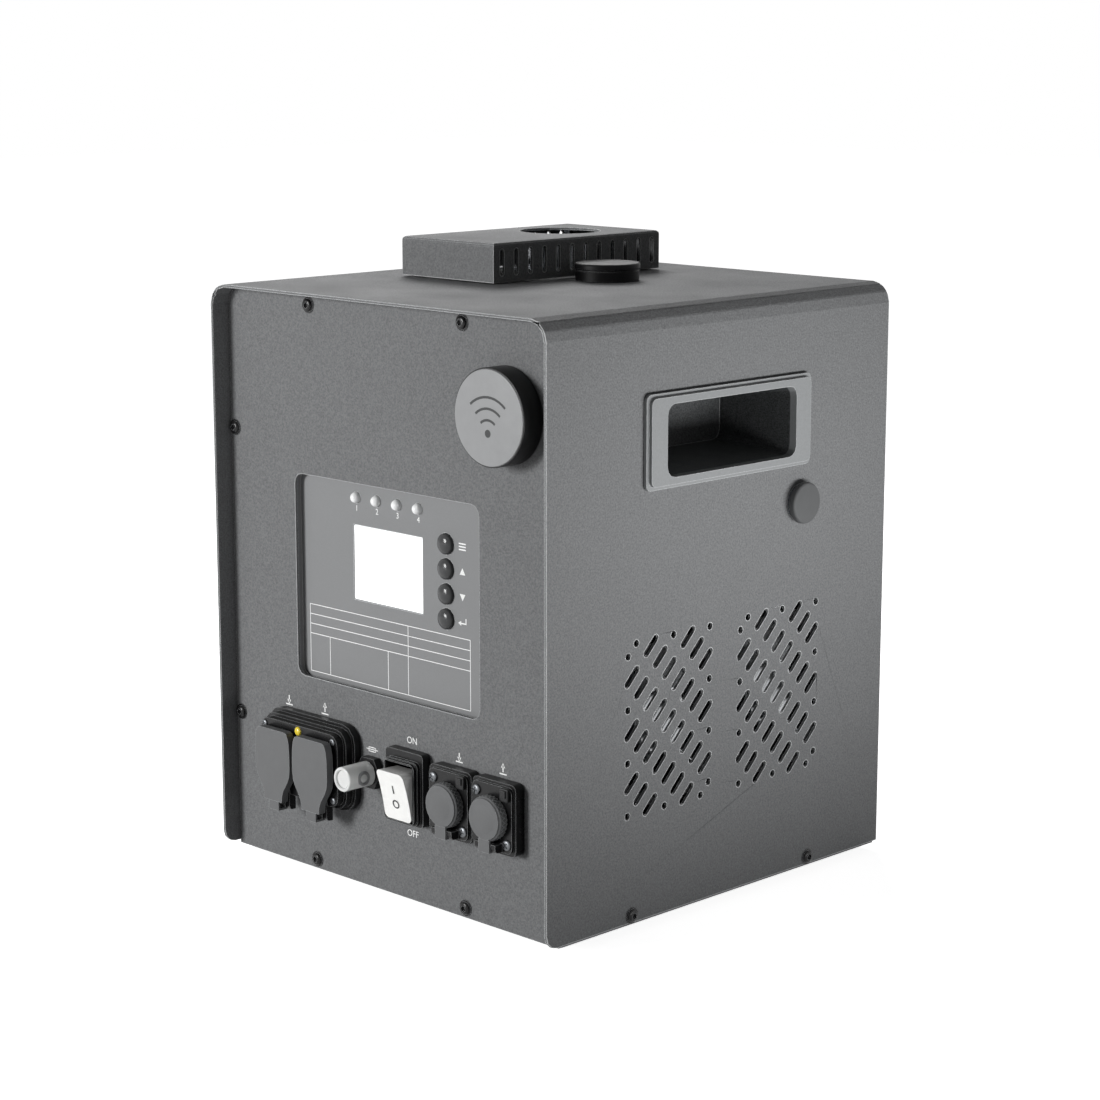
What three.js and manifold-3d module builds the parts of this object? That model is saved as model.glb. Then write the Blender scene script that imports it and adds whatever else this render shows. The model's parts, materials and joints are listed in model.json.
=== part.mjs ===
// A cold spark machine for the stage: a folded sheet steel case with a recessed control panel,
// and inside it the hopper, auger, heated chamber, blower, fans and electronics.
// Millimetres, +Z up. The front looks towards -Y. The origin lies on the ground, under the
// middle of the whole object. The sizes below count from the middle of the case.

import * as THREE from 'three';
import { mergeVertices, mergeGeometries } from 'three/addons/utils/BufferGeometryUtils.js';
import Module from 'manifold-3d';

const wasm = await Module();
wasm.setup();

// Clearances and facets
const seatGap = 0.3;
const cutOverrun = 3;
const mergeDistance = 0.0005;
const cornerSegments = 3;
const roundSegments = 24;
const smallSegments = 12;
const plainSegments = 6;

// Case
const caseWidth = 232;
const caseDepth = 238;
const caseHeight = 286;
const sheetThickness = 1.5;
const bendRadius = 10;
const wallCornerRadius = 7;
const panelRecess = 9.5;
const rearRecess = 1;
const flangeWidth = 13;
const trayDepth = 12;

// Feet
const footHeight = 3;
const footRadius = 9;
const footTaper = 1.5;
const footInset = 32;
const footStemRadius = 2.6;

// Side vents: slots at 45 degrees on a slanted lattice, two fields on each side wall
const ventPitch = 6.28;
const ventSlotLength = 12.6;
const ventSlotWidth = 3.6;
const ventFieldSpacing = 77.5;
const ventRise = 93.7;
const ventTilt = Math.PI / 4;
const ventDotShare = 0.57;
const ventEndSegments = 2;

// Cooling fans behind the right-hand vents
const fanFrameSize = 76;
const fanDepth = 25;
const fanBore = 36.5;
const fanTipGap = 1;
const fanHubRadius = 17;
const fanHubPlate = 4;
const fanStrutWidth = 5;
const fanStrutCount = 4;
const fanBladeCount = 7;
const fanBladeThickness = 1.6;
const fanBladePitch = 0.62;
const fanRotorDepth = 18;
const fanFrameCorner = 5;
const fanHubEdge = 1.2;

// Recessed side handles
const handleLength = 115;
const handleHeight = 44;
const handleCorner = 3;
const handleProud = 3.5;
const handleOpeningLength = 90.6;
const handleOpeningHeight = 34;
const handleOpeningCorner = 5;
const handleDrop = 60.5;
const handleDepth = 44;
const handleWall = 2.5;
const handleDraft = 4;

// Plug and its socket on the right-hand wall
const plugRadius = 10;
const plugProud = 5;
const plugEdge = 1.2;
const plugShankRadius = 6.5;
const plugShankLength = 14;
const plugY = 52.6;
const plugDrop = 101;
const plugSocketWall = 2;
const plugSocketLength = 24;

// Slotted cover over the outlet
const coverWidth = 66;
const coverDepth = 118;
const coverHeight = 19.4;
const coverSheet = 1.2;
const coverBend = 2;
const coverLift = 0.8;
const coverFromWall = 73;
const coverAheadOfOutlet = 20;
const coverHoleRadius = 20.5;
const coverSlotCount = 12;
const coverSlotPitch = 9.69;
const coverSlotWidth = 3;
const coverSlotHeight = 13.2;
const coverPostRadius = 3;
const coverPostInset = 6.5;
const coverMiddlePostShare = 0.23;

// Outlet tube and heated chamber
const outletY = 50;
const outletRadius = 17;
const outletWall = 2;
const outletFlangeRadius = 24;
const outletFlange = 2;
const outletBelowCover = 4;
const chamberTopDrop = 84;
const chamberRadius = 20;
const chamberWall = 2.5;
const chamberMouth = 12;
const chamberFloor = 3;
const chamberFlangeRadius = 24;

// Heater coil and its insulation
const coilWire = 1.8;
const coilTurns = 8;
const coilStepsPerTurn = 10;
const coilSides = 5;
const coilLift = 8;
const coilHeight = 56;
const jacketWall = 9;
const jacketMargin = 4;

// Filler cap, neck and hopper
const fillerFromOutlet = 54.5;
const fillerAheadOfOutlet = 22;
const capRadius = 16.3;
const capSkirtInset = 0.5;
const capGrooveInset = 1.4;
const capSkirtHeight = 5;
const capGrooveHeight = 0.8;
const capLidHeight = 2.8;
const capWall = 2;
const capChamfer = 0.6;
const neckRadius = 11;
const neckWall = 2;
const neckFlangeRadius = 13.5;
const neckFlange = 2;
const neckRise = 6.2;
const hopperDrop = 21;
const hopperRadius = 33;
const hopperWall = 1.5;
const hopperStraight = 30;
const hopperThroat = 6.5;
const hopperSpout = 4;

// Feed auger, from under the hopper into the chamber
const augerDrop = 104;
const augerTubeRadius = 9;
const augerTubeWall = 2;
const augerRadius = 6.3;
const augerShaftRadius = 2.2;
const augerFlight = 1.4;
const augerPitch = 9;
const augerStepsPerTurn = 10;
const augerPastHopper = 14;
const motorRadius = 12.5;
const motorLength = 30;
const gearboxLength = 12;
const gearboxSize = 26;
const gearboxCorner = 3;

// Blower
const blowerDepth = 40;
const blowerWall = 2;
const blowerRadius = 27;
const blowerGrowth = 13;
const blowerOutlet = 28;
const blowerInlet = 15;
const blowerFootRise = 4;
const blowerRise = 93;
const blowerMotorRadius = 15;
const blowerMotorLength = 20;
const impellerRadius = 22;
const impellerBlades = 12;
const impellerBladeWidth = 6;
const impellerPlate = 2;
const impellerHubRadius = 5;
const impellerBladeThickness = 1.4;
const impellerBladeTilt = Math.PI / 4;

// Power supply and control board
const supplyWidth = 108;
const supplyDepth = 62;
const supplyHeight = 46;
const supplyX = -30;
const supplySetback = 35;
const supplyCorner = 2;
const supplySlotCount = 9;
const supplySlotWidth = 3;
const supplySlotPitch = 9;
const supplySlotDepth = 2;
const boardThickness = 1.6;
const boardMargin = 5;
const boardLegRadius = 2.5;
const boardLegHeight = 8;
const chipSize = 14;
const chipHeight = 3;
const capacitorRadius = 6;
const capacitorHeight = 16;

// Window in the front panel and the control plate behind it
const windowWidth = 129;
const windowHeight = 100;
const windowCorner = 5;
const windowX = -1.2;
const windowRise = 147;
const plateRecess = 4.5;
const plateThickness = 1.5;
const plateRim = 2;
const plateMargin = 1;
const displayX = -3.8;
const displayAboveMiddle = 10.7;
const displayWidth = 48.8;
const displayHeight = 36.7;
const displayFrame = 3;
const displayThickness = 2;
const displayBody = 4;
const buttonX = 36.9;
const buttonPitch = 11.8;
const buttonCount = 4;
const buttonRadius = 4.9;
const buttonDome = 2.2;
const buttonProud = 0.9;
const buttonFlange = 0.8;
const buttonTravel = 1;
const buttonStemRadius = 2;
const lampPitch = 14.5;
const lampCount = 4;
const lampAboveMiddle = 42.3;
const lampRadius = 2.6;
const lampProud = 0.7;
const controlBoardWidth = 118;
const controlBoardHeight = 74;
const controlBoardDepth = 8.5;
const pinRadius = 2.4;

// Round reader on the front panel
const readerRadius = 22.3;
const readerThickness = 12;
const readerEdge = 1.4;
const readerInset = 33.4;
const readerDrop = 45.7;
const readerStemRadius = 4;

// Mains sockets: one housing with two openings, each with a hinged cover
const mainsX = -51.7;
const mainsRise = 57.4;
const mainsWidth = 64.6;
const mainsHeight = 43.2;
const mainsCorner = 9;
const mainsStep = 1.8;
const mainsTier = 4;
const mainsTierCount = 3;
const mainsBackDepth = 22;
const mainsBackInset = 5;
const mainsSocketSpacing = 28;
const mainsSocketRadius = 11;
const mainsSocketDepth = 24;
const mainsPinRadius = 1.6;
const mainsPinSpacing = 6;
const mainsPinLength = 12;
const mainsPinCount = 3;
const flapWidth = 26;
const flapHeight = 36;
const flapTopShare = 0.72;
const flapTabShare = 0.5;
const flapThickness = 4;
const flapPlugRadius = 9;
const flapPlugWall = 1.4;
const flapPlugDepth = 2;
const flapGap = 1.3;
const flapDrop = 3.4;
const mainsHingeDrop = 23.9;
const mainsHingeSetback = 1.5;
const mainsLugRise = 7.9;
const strapWidth = 7;
const strapThickness = 1;
const hingePinRadius = 1;
const hingeEyeRadius = 2.3;
const hingeLugRadius = 2;
const hingeLugWidth = 3;
const pilotX = -52;
const pilotRise = 72.6;
const pilotRadius = 2.2;
const pilotProud = 1.2;
const pilotDepth = 5;

// Fuse holder
const fuseX = -10.3;
const fuseRise = 58.3;
const fuseNutRadius = 8.6;
const fuseNut = 4;
const fuseBodyRadius = 6.6;
const fuseBodyDepth = 26;
const fuseBodyWall = 1.6;
const fuseCapRadius = 6;
const fuseCapLength = 16;
const fuseCapTaper = 0.6;
const fuseLinkRadius = 2.6;
const fuseLinkLength = 20;

// Rocker switch
const switchX = 17;
const switchRise = 57;
const switchWidth = 26;
const switchHeight = 35.5;
const switchCorner = 2;
const switchBase = 5;
const switchBootWidth = 22.6;
const switchBootHeight = 31;
const switchBootDrop = 1.6;
const switchBootCorner = 3;
const switchBoot = 3.6;
const switchWall = 1.3;
const switchBackDepth = 20;
const rockerWidth = 18.6;
const rockerHeight = 25.4;
const rockerThrow = 13.6 * Math.PI / 180;
const rockerPivotProud = 6;
const rockerFace = 6;
const rockerBelly = 11;
const rockerSag = 0.7;

// Signal sockets with rubber caps
const signalX = 49.5;
const signalPitch = 29.1;
const signalRise = 56;
const signalCount = 2;
const signalBaseWidth = 28.4;
const signalBaseHeight = 34;
const signalBase = 5.5;
const signalPlateWidth = 26;
const signalPlateHeight = 31;
const signalPlate = 1.5;
const signalCorner = 3;
const signalBarrelRadius = 11;
const signalBarrelDepth = 16;
const signalBore = 8.6;
const signalBoreDepth = 15;
const signalPinRadius = 1.1;
const signalPinCircle = 4;
const signalPinLength = 10;
const signalPinCount = 3;
const rubberCapRadius = 10.4;
const rubberCapFace = 9.6;
const rubberCapDepth = 5.4;
const rubberCapCrown = 0.6;
const rubberCapHollow = 8.4;
const rubberCapWall = 2;
const signalHingeDrop = 13.2;
const signalHingeProud = 2.6;
const signalLugRoot = 0.7;
const signalStrapFront = 5.3;

// Places that follow from the sizes
const caseBottom = footHeight;
const caseTop = caseBottom + caseHeight;
const wallBottom = caseBottom + sheetThickness;
const floorTop = caseBottom + sheetThickness;
const innerHalfWidth = caseWidth / 2 - sheetThickness - seatGap;
const innerTop = caseTop - sheetThickness - seatGap;
const innerBend = bendRadius - sheetThickness - seatGap;
const panelFront = -caseDepth / 2 + panelRecess;
const panelBack = panelFront + sheetThickness;
const rearFace = caseDepth / 2 - rearRecess;
const rearInside = rearFace - sheetThickness;
const onPanel = panelFront - seatGap;
const behindPanel = panelBack + seatGap;
const coverX = coverFromWall - caseWidth / 2;
const coverY = outletY - coverAheadOfOutlet;
const fillerX = coverX + fillerFromOutlet;
const fillerY = outletY - fillerAheadOfOutlet;
const supplyY = panelBack + supplySetback + supplyDepth / 2;
const coverBottom = caseTop + coverLift;
const coverTop = coverBottom + coverHeight;
const coverUnderside = coverTop - coverSheet;
const chamberTop = caseTop - chamberTopDrop;
const blowerTop = floorTop + blowerRise;
const plateFace = panelFront + plateRecess;
const plateBack = plateFace + plateThickness;
const controlBoardFront = plateFace + controlBoardDepth;
const mainsFront = onPanel - mainsTier * mainsTierCount;
const switchFront = onPanel - switchBase;
const signalFront = onPanel - signalBase - signalPlate;

// Solid modelling helpers

// One closed indexed mesh: shared corners merged, empty triangles dropped, faces pointing out.
function closedMesh(geometry) {
  const bare = geometry.clone();
  bare.deleteAttribute('normal');
  bare.deleteAttribute('uv');
  const merged = mergeVertices(bare, mergeDistance);
  const position = merged.getAttribute('position');
  const index = merged.getIndex().array;
  const corner = [new THREE.Vector3(), new THREE.Vector3(), new THREE.Vector3()];
  const kept = [];
  let volume = 0;
  for (let i = 0; i < index.length; i += corner.length) {
    const [a, b, c] = index.slice(i, i + corner.length);
    if (a === b || b === c || c === a) continue;
    kept.push([a, b, c]);
    [a, b, c].forEach((vertex, k) => corner[k].fromBufferAttribute(position, vertex));
    volume += corner[0].dot(corner[1].cross(corner[2]));
  }
  const turned = volume < 0 ? kept.map(([a, b, c]) => [a, c, b]) : kept;
  return { vertProperties: new Float32Array(position.array), triVerts: new Uint32Array(turned.flat()) };
}

function toSolid(geometry) {
  const mesh = new wasm.Mesh({ numProp: 3, ...closedMesh(geometry) });
  mesh.merge();
  return new wasm.Manifold(mesh);
}

function toGeometry(solid) {
  const mesh = solid.getMesh();
  const geometry = new THREE.BufferGeometry();
  geometry.setAttribute('position', new THREE.BufferAttribute(new Float32Array(mesh.vertProperties), 3));
  geometry.setIndex(new THREE.BufferAttribute(new Uint32Array(mesh.triVerts), 1));
  return geometry;
}

function join(first, ...others) {
  return toGeometry(others.reduce((solid, other) => solid.add(toSolid(other)), toSolid(first)));
}

function cut(first, ...others) {
  return toGeometry(others.reduce((solid, other) => solid.subtract(toSolid(other)), toSolid(first)));
}

function common(first, second) {
  return toGeometry(toSolid(first).intersect(toSolid(second)));
}

// Separate bodies as one tool for a cut
function together(geometries) {
  const bare = geometries.map((geometry) => {
    const copy = geometry.index ? geometry.toNonIndexed() : geometry.clone();
    copy.deleteAttribute('normal');
    copy.deleteAttribute('uv');
    return copy;
  });
  return mergeGeometries(bare);
}

function range(count) {
  return Array.from({ length: count }, (_, i) => i);
}

function arc(x, y, radius, start, end, segments) {
  return range(segments + 1).map((i) => {
    const angle = start + (end - start) * i / segments;
    return new THREE.Vector2(x + radius * Math.cos(angle), y + radius * Math.sin(angle));
  });
}

function circle(radius, segments = smallSegments, x = 0, y = 0) {
  return arc(x, y, radius, 0, 2 * Math.PI * (segments - 1) / segments, segments - 1);
}

const quarter = Math.PI / 2;

function roundedRectangle(width, height, radius, x = 0, y = 0) {
  const halfWidth = width / 2 - radius;
  const halfHeight = height / 2 - radius;
  return range(4).flatMap((i) => {
    const right = i === 0 || i === 3 ? 1 : -1;
    const up = i < 2 ? 1 : -1;
    return arc(x + right * halfWidth, y + up * halfHeight, radius, i * quarter, (i + 1) * quarter, cornerSegments);
  });
}

// A rectangle whose two upper corners are round, standing on its lower edge
function archedRectangle(width, bottom, top, radius) {
  const half = width / 2;
  return [
    new THREE.Vector2(-half, bottom),
    new THREE.Vector2(half, bottom),
    ...arc(half - radius, top - radius, radius, 0, quarter, cornerSegments),
    ...arc(radius - half, top - radius, radius, quarter, 2 * quarter, cornerSegments),
  ];
}

function slot(length, width, segments) {
  const reach = (length - width) / 2;
  return [
    ...arc(reach, 0, width / 2, -quarter, quarter, segments),
    ...arc(-reach, 0, width / 2, quarter, 3 * quarter, segments),
  ];
}

// Outlines in X and Y, raised along Z
function raised(outline, bottom, height) {
  const geometry = new THREE.ExtrudeGeometry(new THREE.Shape(outline), { depth: height, bevelEnabled: false });
  return geometry.translate(0, 0, bottom);
}

// Outlines in X and Z, going back along +Y from their front
function pushedBack(outline, front, depth) {
  return raised(outline, 0, depth).rotateX(quarter).translate(0, front + depth, 0);
}

// Outlines in Y and Z, going along +X from their left
function pushedRight(outline, left, length) {
  const axes = new THREE.Matrix4().makeBasis(
    new THREE.Vector3(0, 1, 0), new THREE.Vector3(0, 0, 1), new THREE.Vector3(1, 0, 0));
  return raised(outline, left, length).applyMatrix4(axes);
}

// A profile of radius and height, turned about the Z axis
function turned(profile, segments = smallSegments) {
  const points = profile.map(([radius, height]) => new THREE.Vector2(radius, height));
  return new THREE.LatheGeometry(points, segments).rotateX(quarter);
}

function rod(radius, bottom, top, segments = smallSegments) {
  return turned([[0, bottom], [radius, bottom], [radius, top], [0, top]], segments);
}

function pipe(outer, inner, bottom, top, segments = smallSegments) {
  const profile = [[inner, bottom], [outer, bottom], [outer, top], [inner, top], [inner, bottom]];
  return turned(profile, segments);
}

// What is modelled standing on Z is laid down to face the front, or turned to face the right
function facingFront(geometry) {
  return geometry.rotateX(quarter);
}

function facingRight(geometry) {
  return geometry.rotateY(quarter);
}

function block(width, depth, height) {
  return new THREE.BoxGeometry(width, depth, height);
}

const model = new THREE.Group();

function addPiece(name, geometry, finish, x = 0, y = 0, z = 0, parent = model) {
  const whole = toGeometry(toSolid(geometry)).toNonIndexed();
  whole.computeVertexNormals();
  const mesh = new THREE.Mesh(whole, new THREE.MeshStandardMaterial(finish));
  mesh.name = name;
  mesh.position.set(x, y, z);
  parent.add(mesh);
  return mesh;
}

// Finishes
const powderCoat = { color: 0x5a5b5c, roughness: 0.62, metalness: 0.1 };
const printedPlate = { color: 0x6c6d6e, roughness: 0.5, metalness: 0.1 };
const blackPlastic = { color: 0x141415, roughness: 0.5, metalness: 0 };
const greyPlastic = { color: 0x4c4d4e, roughness: 0.55, metalness: 0 };
const blackRubber = { color: 0x1a1a1b, roughness: 0.85, metalness: 0 };
const steel = { color: 0xb9bcc0, roughness: 0.25, metalness: 1 };
const galvanised = { color: 0x9a9d9f, roughness: 0.45, metalness: 0.9 };
const whitePlastic = { color: 0xf4f4f2, roughness: 0.35, metalness: 0 };
const litScreen = { color: 0xffffff, roughness: 0.2, metalness: 0 };
const clearPlastic = { color: 0xd9dcda, roughness: 0.15, metalness: 0 };
const yellowLens = { color: 0xd9c93a, roughness: 0.25, metalness: 0 };
const circuitBoard = { color: 0x1f5a3a, roughness: 0.6, metalness: 0 };
const ceramicWool = { color: 0xd8d2c4, roughness: 0.95, metalness: 0 };
const redCopper = { color: 0xa8643c, roughness: 0.4, metalness: 1 };

// Vent pattern: the rows give the lattice row, and the first and last place in it
const ventRows = [[2, -6, -4], [1, -6, 0], [0, -4, 4], [-1, 0, 6], [-2, 4, 6]];
const ventDotsBelow = [[3, -7], [2, -7], [1, -7], [2, -3], [1, 1], [0, 5]];

function ventPlace(row, place, side = 0) {
  const off = side * ventDotShare * ventPitch;
  return [(4 * row + place) * ventPitch + off, -place * ventPitch + off];
}

function ventField(y, z) {
  const left = -caseWidth / 2 - cutOverrun;
  const length = caseWidth + 2 * cutOverrun;
  const slots = ventRows.flatMap(([row, first, last]) => range(last - first + 1).map((i) => {
    const [across, up] = ventPlace(row, first + i);
    const outline = slot(ventSlotLength, ventSlotWidth, ventEndSegments)
      .map((point) => point.rotateAround(new THREE.Vector2(), ventTilt))
      .map((point) => point.add(new THREE.Vector2(y + across, z + up)));
    return pushedRight(outline, left, length);
  }));
  const dots = ventDotsBelow.flatMap(([row, place]) => [[row, place, -1], [-row, -place, 1]])
    .map(([row, place, side]) => {
      const [across, up] = ventPlace(row, place, side);
      return pushedRight(circle(ventSlotWidth / 2, plainSegments, y + across, z + up), left, length);
    });
  return [...slots, ...dots];
}

const ventZ = caseBottom + ventRise;
const ventPlaces = [-1, 1].map((side) => side * ventFieldSpacing / 2);
const handleZ = caseTop - handleDrop;
const plugZ = caseTop - plugDrop;
const handleNeckLength = handleOpeningLength + 2 * handleWall;
const handleNeckHeight = handleOpeningHeight + 2 * handleWall;

// Case: one sheet folded over the top and both sides
function makeShell() {
  const outer = archedRectangle(caseWidth, wallBottom, caseTop, bendRadius);
  const inner = archedRectangle(caseWidth - 2 * sheetThickness, wallBottom - cutOverrun,
    caseTop - sheetThickness, bendRadius - sheetThickness);
  const side = [
    new THREE.Vector2(caseDepth / 2, wallBottom),
    new THREE.Vector2(caseDepth / 2, caseTop),
    new THREE.Vector2(-caseDepth / 2, caseTop),
    ...arc(wallCornerRadius - caseDepth / 2, wallBottom + wallCornerRadius, wallCornerRadius,
      2 * quarter, 3 * quarter, cornerSegments),
  ];
  const folded = cut(
    pushedBack(outer, -caseDepth / 2, caseDepth),
    pushedBack(inner, -caseDepth / 2 - cutOverrun, caseDepth + 2 * cutOverrun));
  const trimmed = common(folded, pushedRight(side, -caseWidth / 2, caseWidth));
  const handleHole = roundedRectangle(handleNeckLength + 2 * seatGap, handleNeckHeight + 2 * seatGap,
    handleOpeningCorner, 0, handleZ);
  const topCut = (radius) => rod(radius + seatGap, innerTop - cutOverrun, caseTop + cutOverrun, roundSegments);
  const plugCut = facingRight(rod(plugShankRadius + plugSocketWall + seatGap,
    innerHalfWidth - cutOverrun, caseWidth / 2 + cutOverrun)).translate(0, plugY, plugZ);
  return cut(trimmed,
    pushedRight(handleHole, -caseWidth / 2 - cutOverrun, caseWidth + 2 * cutOverrun),
    together(ventPlaces.flatMap((y) => ventField(y, ventZ))),
    topCut(outletRadius).translate(coverX, outletY, 0),
    topCut(neckRadius).translate(fillerX, fillerY, 0),
    plugCut);
}

// A ring of angle section behind the front panel, for its screws
function makeFrontFrame() {
  const depth = trayDepth;
  const width = 2 * innerHalfWidth;
  const bottom = floorTop + seatGap;
  const outer = archedRectangle(width, bottom, innerTop, innerBend);
  const pocket = archedRectangle(width - 2 * sheetThickness, bottom + sheetThickness,
    innerTop - sheetThickness, innerBend - sheetThickness);
  const opening = archedRectangle(width - 2 * flangeWidth, bottom + flangeWidth,
    innerTop - flangeWidth, sheetThickness);
  return cut(
    pushedBack(outer, behindPanel, depth),
    pushedBack(pocket, behindPanel + sheetThickness, depth),
    pushedBack(opening, behindPanel - cutOverrun, depth));
}

function makeFrontPanel() {
  const outline = archedRectangle(2 * innerHalfWidth, caseBottom, innerTop, innerBend);
  const through = (points) => pushedBack(points, panelFront - cutOverrun, sheetThickness + 2 * cutOverrun);
  const roundHole = (radius, x, z) => through(circle(radius + seatGap, roundSegments, x, z));
  const signalHoles = range(signalCount).map((i) =>
    roundHole(signalBarrelRadius, signalX + i * signalPitch, caseBottom + signalRise));
  return cut(pushedBack(outline, panelFront, sheetThickness),
    through(roundedRectangle(windowWidth, windowHeight, windowCorner, windowX, caseBottom + windowRise)),
    through(roundedRectangle(mainsWidth - 2 * mainsBackInset + 2 * seatGap,
      mainsHeight - 2 * mainsBackInset + 2 * seatGap, mainsCorner - mainsBackInset,
      mainsX, caseBottom + mainsRise)),
    through(roundedRectangle(switchBootWidth + 2 * seatGap, switchBootHeight + 2 * seatGap,
      switchCorner, switchX, caseBottom + switchRise - switchBootDrop)),
    roundHole(fuseBodyRadius, fuseX, caseBottom + fuseRise),
    roundHole(readerStemRadius, caseWidth / 2 - readerInset, caseTop - readerDrop),
    ...signalHoles);
}

// Rear panel: a shallow tray whose rim lies inside the shell
function makeRearPanel() {
  const bottom = floorTop + seatGap;
  const outer = archedRectangle(2 * innerHalfWidth, bottom, innerTop, innerBend);
  const pocket = archedRectangle(2 * innerHalfWidth - 2 * sheetThickness, bottom + sheetThickness,
    innerTop - sheetThickness, innerBend - sheetThickness);
  return cut(
    pushedBack(outer, rearFace - trayDepth, trayDepth),
    pushedBack(pocket, rearFace - trayDepth - cutOverrun, trayDepth + cutOverrun - sheetThickness));
}

const footPlaces = [-1, 1].flatMap((sideways) => [-1, 1].map((back) =>
  [sideways * (caseWidth / 2 - footInset), back * (caseDepth / 2 - footInset)]));

// Base pan: a floor with two low side walls that the shell is screwed to
function makeBasePan() {
  const half = innerHalfWidth - sheetThickness - seatGap;
  const inner = half - sheetThickness;
  const wallTop = floorTop + flangeWidth;
  const trough = [[-half, wallTop], [-half, caseBottom], [half, caseBottom], [half, wallTop],
    [inner, wallTop], [inner, floorTop], [-inner, floorTop], [-inner, wallTop]];
  const wallStart = behindPanel + trayDepth + seatGap;
  const wallEnd = rearFace - trayDepth - seatGap;
  const walls = pushedBack(trough.map(([x, z]) => new THREE.Vector2(x, z)), wallStart, wallEnd - wallStart);
  const floor = block(2 * innerHalfWidth, rearFace - behindPanel, sheetThickness)
    .translate(0, (behindPanel + rearFace) / 2, caseBottom + sheetThickness / 2);
  const holes = footPlaces.map(([x, y]) =>
    rod(footStemRadius + seatGap, caseBottom - cutOverrun, floorTop + cutOverrun).translate(x, y, 0));
  return cut(join(floor, walls), ...holes);
}

// A foot whose stem ends level with the floor that it passes through
function makeFoot() {
  const top = footHeight - seatGap;
  return turned([[0, 0], [footRadius - footTaper, 0], [footRadius, top], [footStemRadius, top],
    [footStemRadius, floorTop], [0, floorTop]]);
}

addPiece('shell_cover', makeShell(), powderCoat);
addPiece('front_frame', makeFrontFrame(), galvanised);
addPiece('front_panel', makeFrontPanel(), powderCoat);
addPiece('rear_panel', makeRearPanel(), powderCoat);
addPiece('base_pan', makeBasePan(), powderCoat);
footPlaces.forEach(([x, y], i) => addPiece(`foot_${i + 1}`, makeFoot(), blackRubber, x, y));

// Handles: a moulded bezel outside the wall and a tapering cup inside it
function taperedCup(length, height, corner, depth, draft) {
  const near = roundedRectangle(length, height, corner);
  const far = roundedRectangle(length - 2 * draft, height - 2 * draft, corner);
  const ring = (points, x) => points.map((point) => new THREE.Vector3(x, point.x, point.y));
  return lofted([ring(near, 0), ring(far, -depth)]);
}

// A solid through rings of equally many points, closed at both ends
function lofted(rings) {
  const count = rings[0].length;
  const flat = rings[0].map((point) => new THREE.Vector2(point.y, point.z));
  const ends = THREE.ShapeUtils.triangulateShape(flat, []);
  const last = (rings.length - 1) * count;
  const index = [
    ...ends.flatMap(([a, b, c]) => [a, b, c]),
    ...ends.flatMap(([a, b, c]) => [last + c, last + b, last + a]),
    ...range(rings.length - 1).flatMap((row) => range(count).flatMap((i) => {
      const a = row * count + i;
      const b = row * count + (i + 1) % count;
      return [b, a, a + count, b, a + count, b + count];
    })),
  ];
  const geometry = new THREE.BufferGeometry().setFromPoints(rings.flat());
  geometry.setIndex(index);
  return geometry;
}

function makeHandle() {
  const wall = caseWidth / 2;
  const bezel = join(
    pushedRight(roundedRectangle(handleLength, handleHeight, handleCorner), wall + seatGap, handleProud / 2),
    pushedRight(roundedRectangle(handleLength - handleProud, handleHeight - handleProud, handleCorner),
      wall + seatGap, handleProud));
  const cup = taperedCup(handleNeckLength, handleNeckHeight, handleOpeningCorner, handleDepth, handleDraft)
    .translate(wall + seatGap + handleProud / 2, 0, 0);
  const hollow = taperedCup(handleOpeningLength, handleOpeningHeight, handleOpeningCorner,
    handleDepth + handleProud + cutOverrun - handleWall, handleDraft)
    .translate(wall + handleProud + cutOverrun, 0, 0);
  return cut(join(bezel, cup), hollow);
}

addPiece('handle_right', makeHandle(), blackPlastic, 0, 0, handleZ);
addPiece('handle_left', makeHandle().rotateZ(Math.PI), blackPlastic, 0, 0, handleZ);

// Residue plug in the right-hand wall, and the socket that it closes
function makePlug() {
  const face = seatGap + plugProud;
  return facingRight(turned([[0, -plugShankLength], [plugShankRadius - plugEdge, -plugShankLength],
    [plugShankRadius, plugEdge - plugShankLength], [plugShankRadius, plugSocketWall], [plugRadius, plugSocketWall],
    [plugRadius, face - plugEdge], [plugRadius - plugEdge, face], [0, face]], roundSegments));
}

function makePlugSocket() {
  const bore = plugShankRadius + seatGap;
  const outer = plugShankRadius + plugSocketWall;
  const lip = plugSocketWall - seatGap;
  const start = -sheetThickness - seatGap;
  return facingRight(turned([[bore, -plugSocketLength], [outer, -plugSocketLength], [outer, start - plugSocketWall],
    [plugRadius, start - plugSocketWall], [plugRadius, start], [outer, start], [outer, lip], [bore, lip],
    [bore, -plugSocketLength]], smallSegments));
}

addPiece('drain_plug', makePlug(), blackPlastic, caseWidth / 2, plugY, plugZ);
addPiece('drain_socket', makePlugSocket(), steel, caseWidth / 2, plugY, plugZ);

// Cooling fans
function makeFanFrame() {
  const face = roundedRectangle(fanFrameSize, fanFrameSize, fanFrameCorner);
  const bored = cut(raised(face, 0, fanDepth), rod(fanBore, -cutOverrun, fanDepth + cutOverrun, roundSegments));
  const hub = rod(fanHubRadius, 0, fanHubPlate, smallSegments);
  const struts = range(fanStrutCount).map((i) => block(fanBore + fanStrutWidth, fanStrutWidth, fanHubPlate)
    .translate((fanBore + fanStrutWidth) / 2, 0, fanHubPlate / 2)
    .rotateZ((i + 1 / 2) * 2 * Math.PI / fanStrutCount));
  const ring = cut(rod(fanBore + fanStrutWidth, 0, fanHubPlate, roundSegments),
    rod(fanBore, -cutOverrun, fanHubPlate + cutOverrun, roundSegments));
  const spider = common(join(hub, ring, ...struts), raised(face, 0, fanDepth));
  return join(bored, spider);
}

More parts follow.
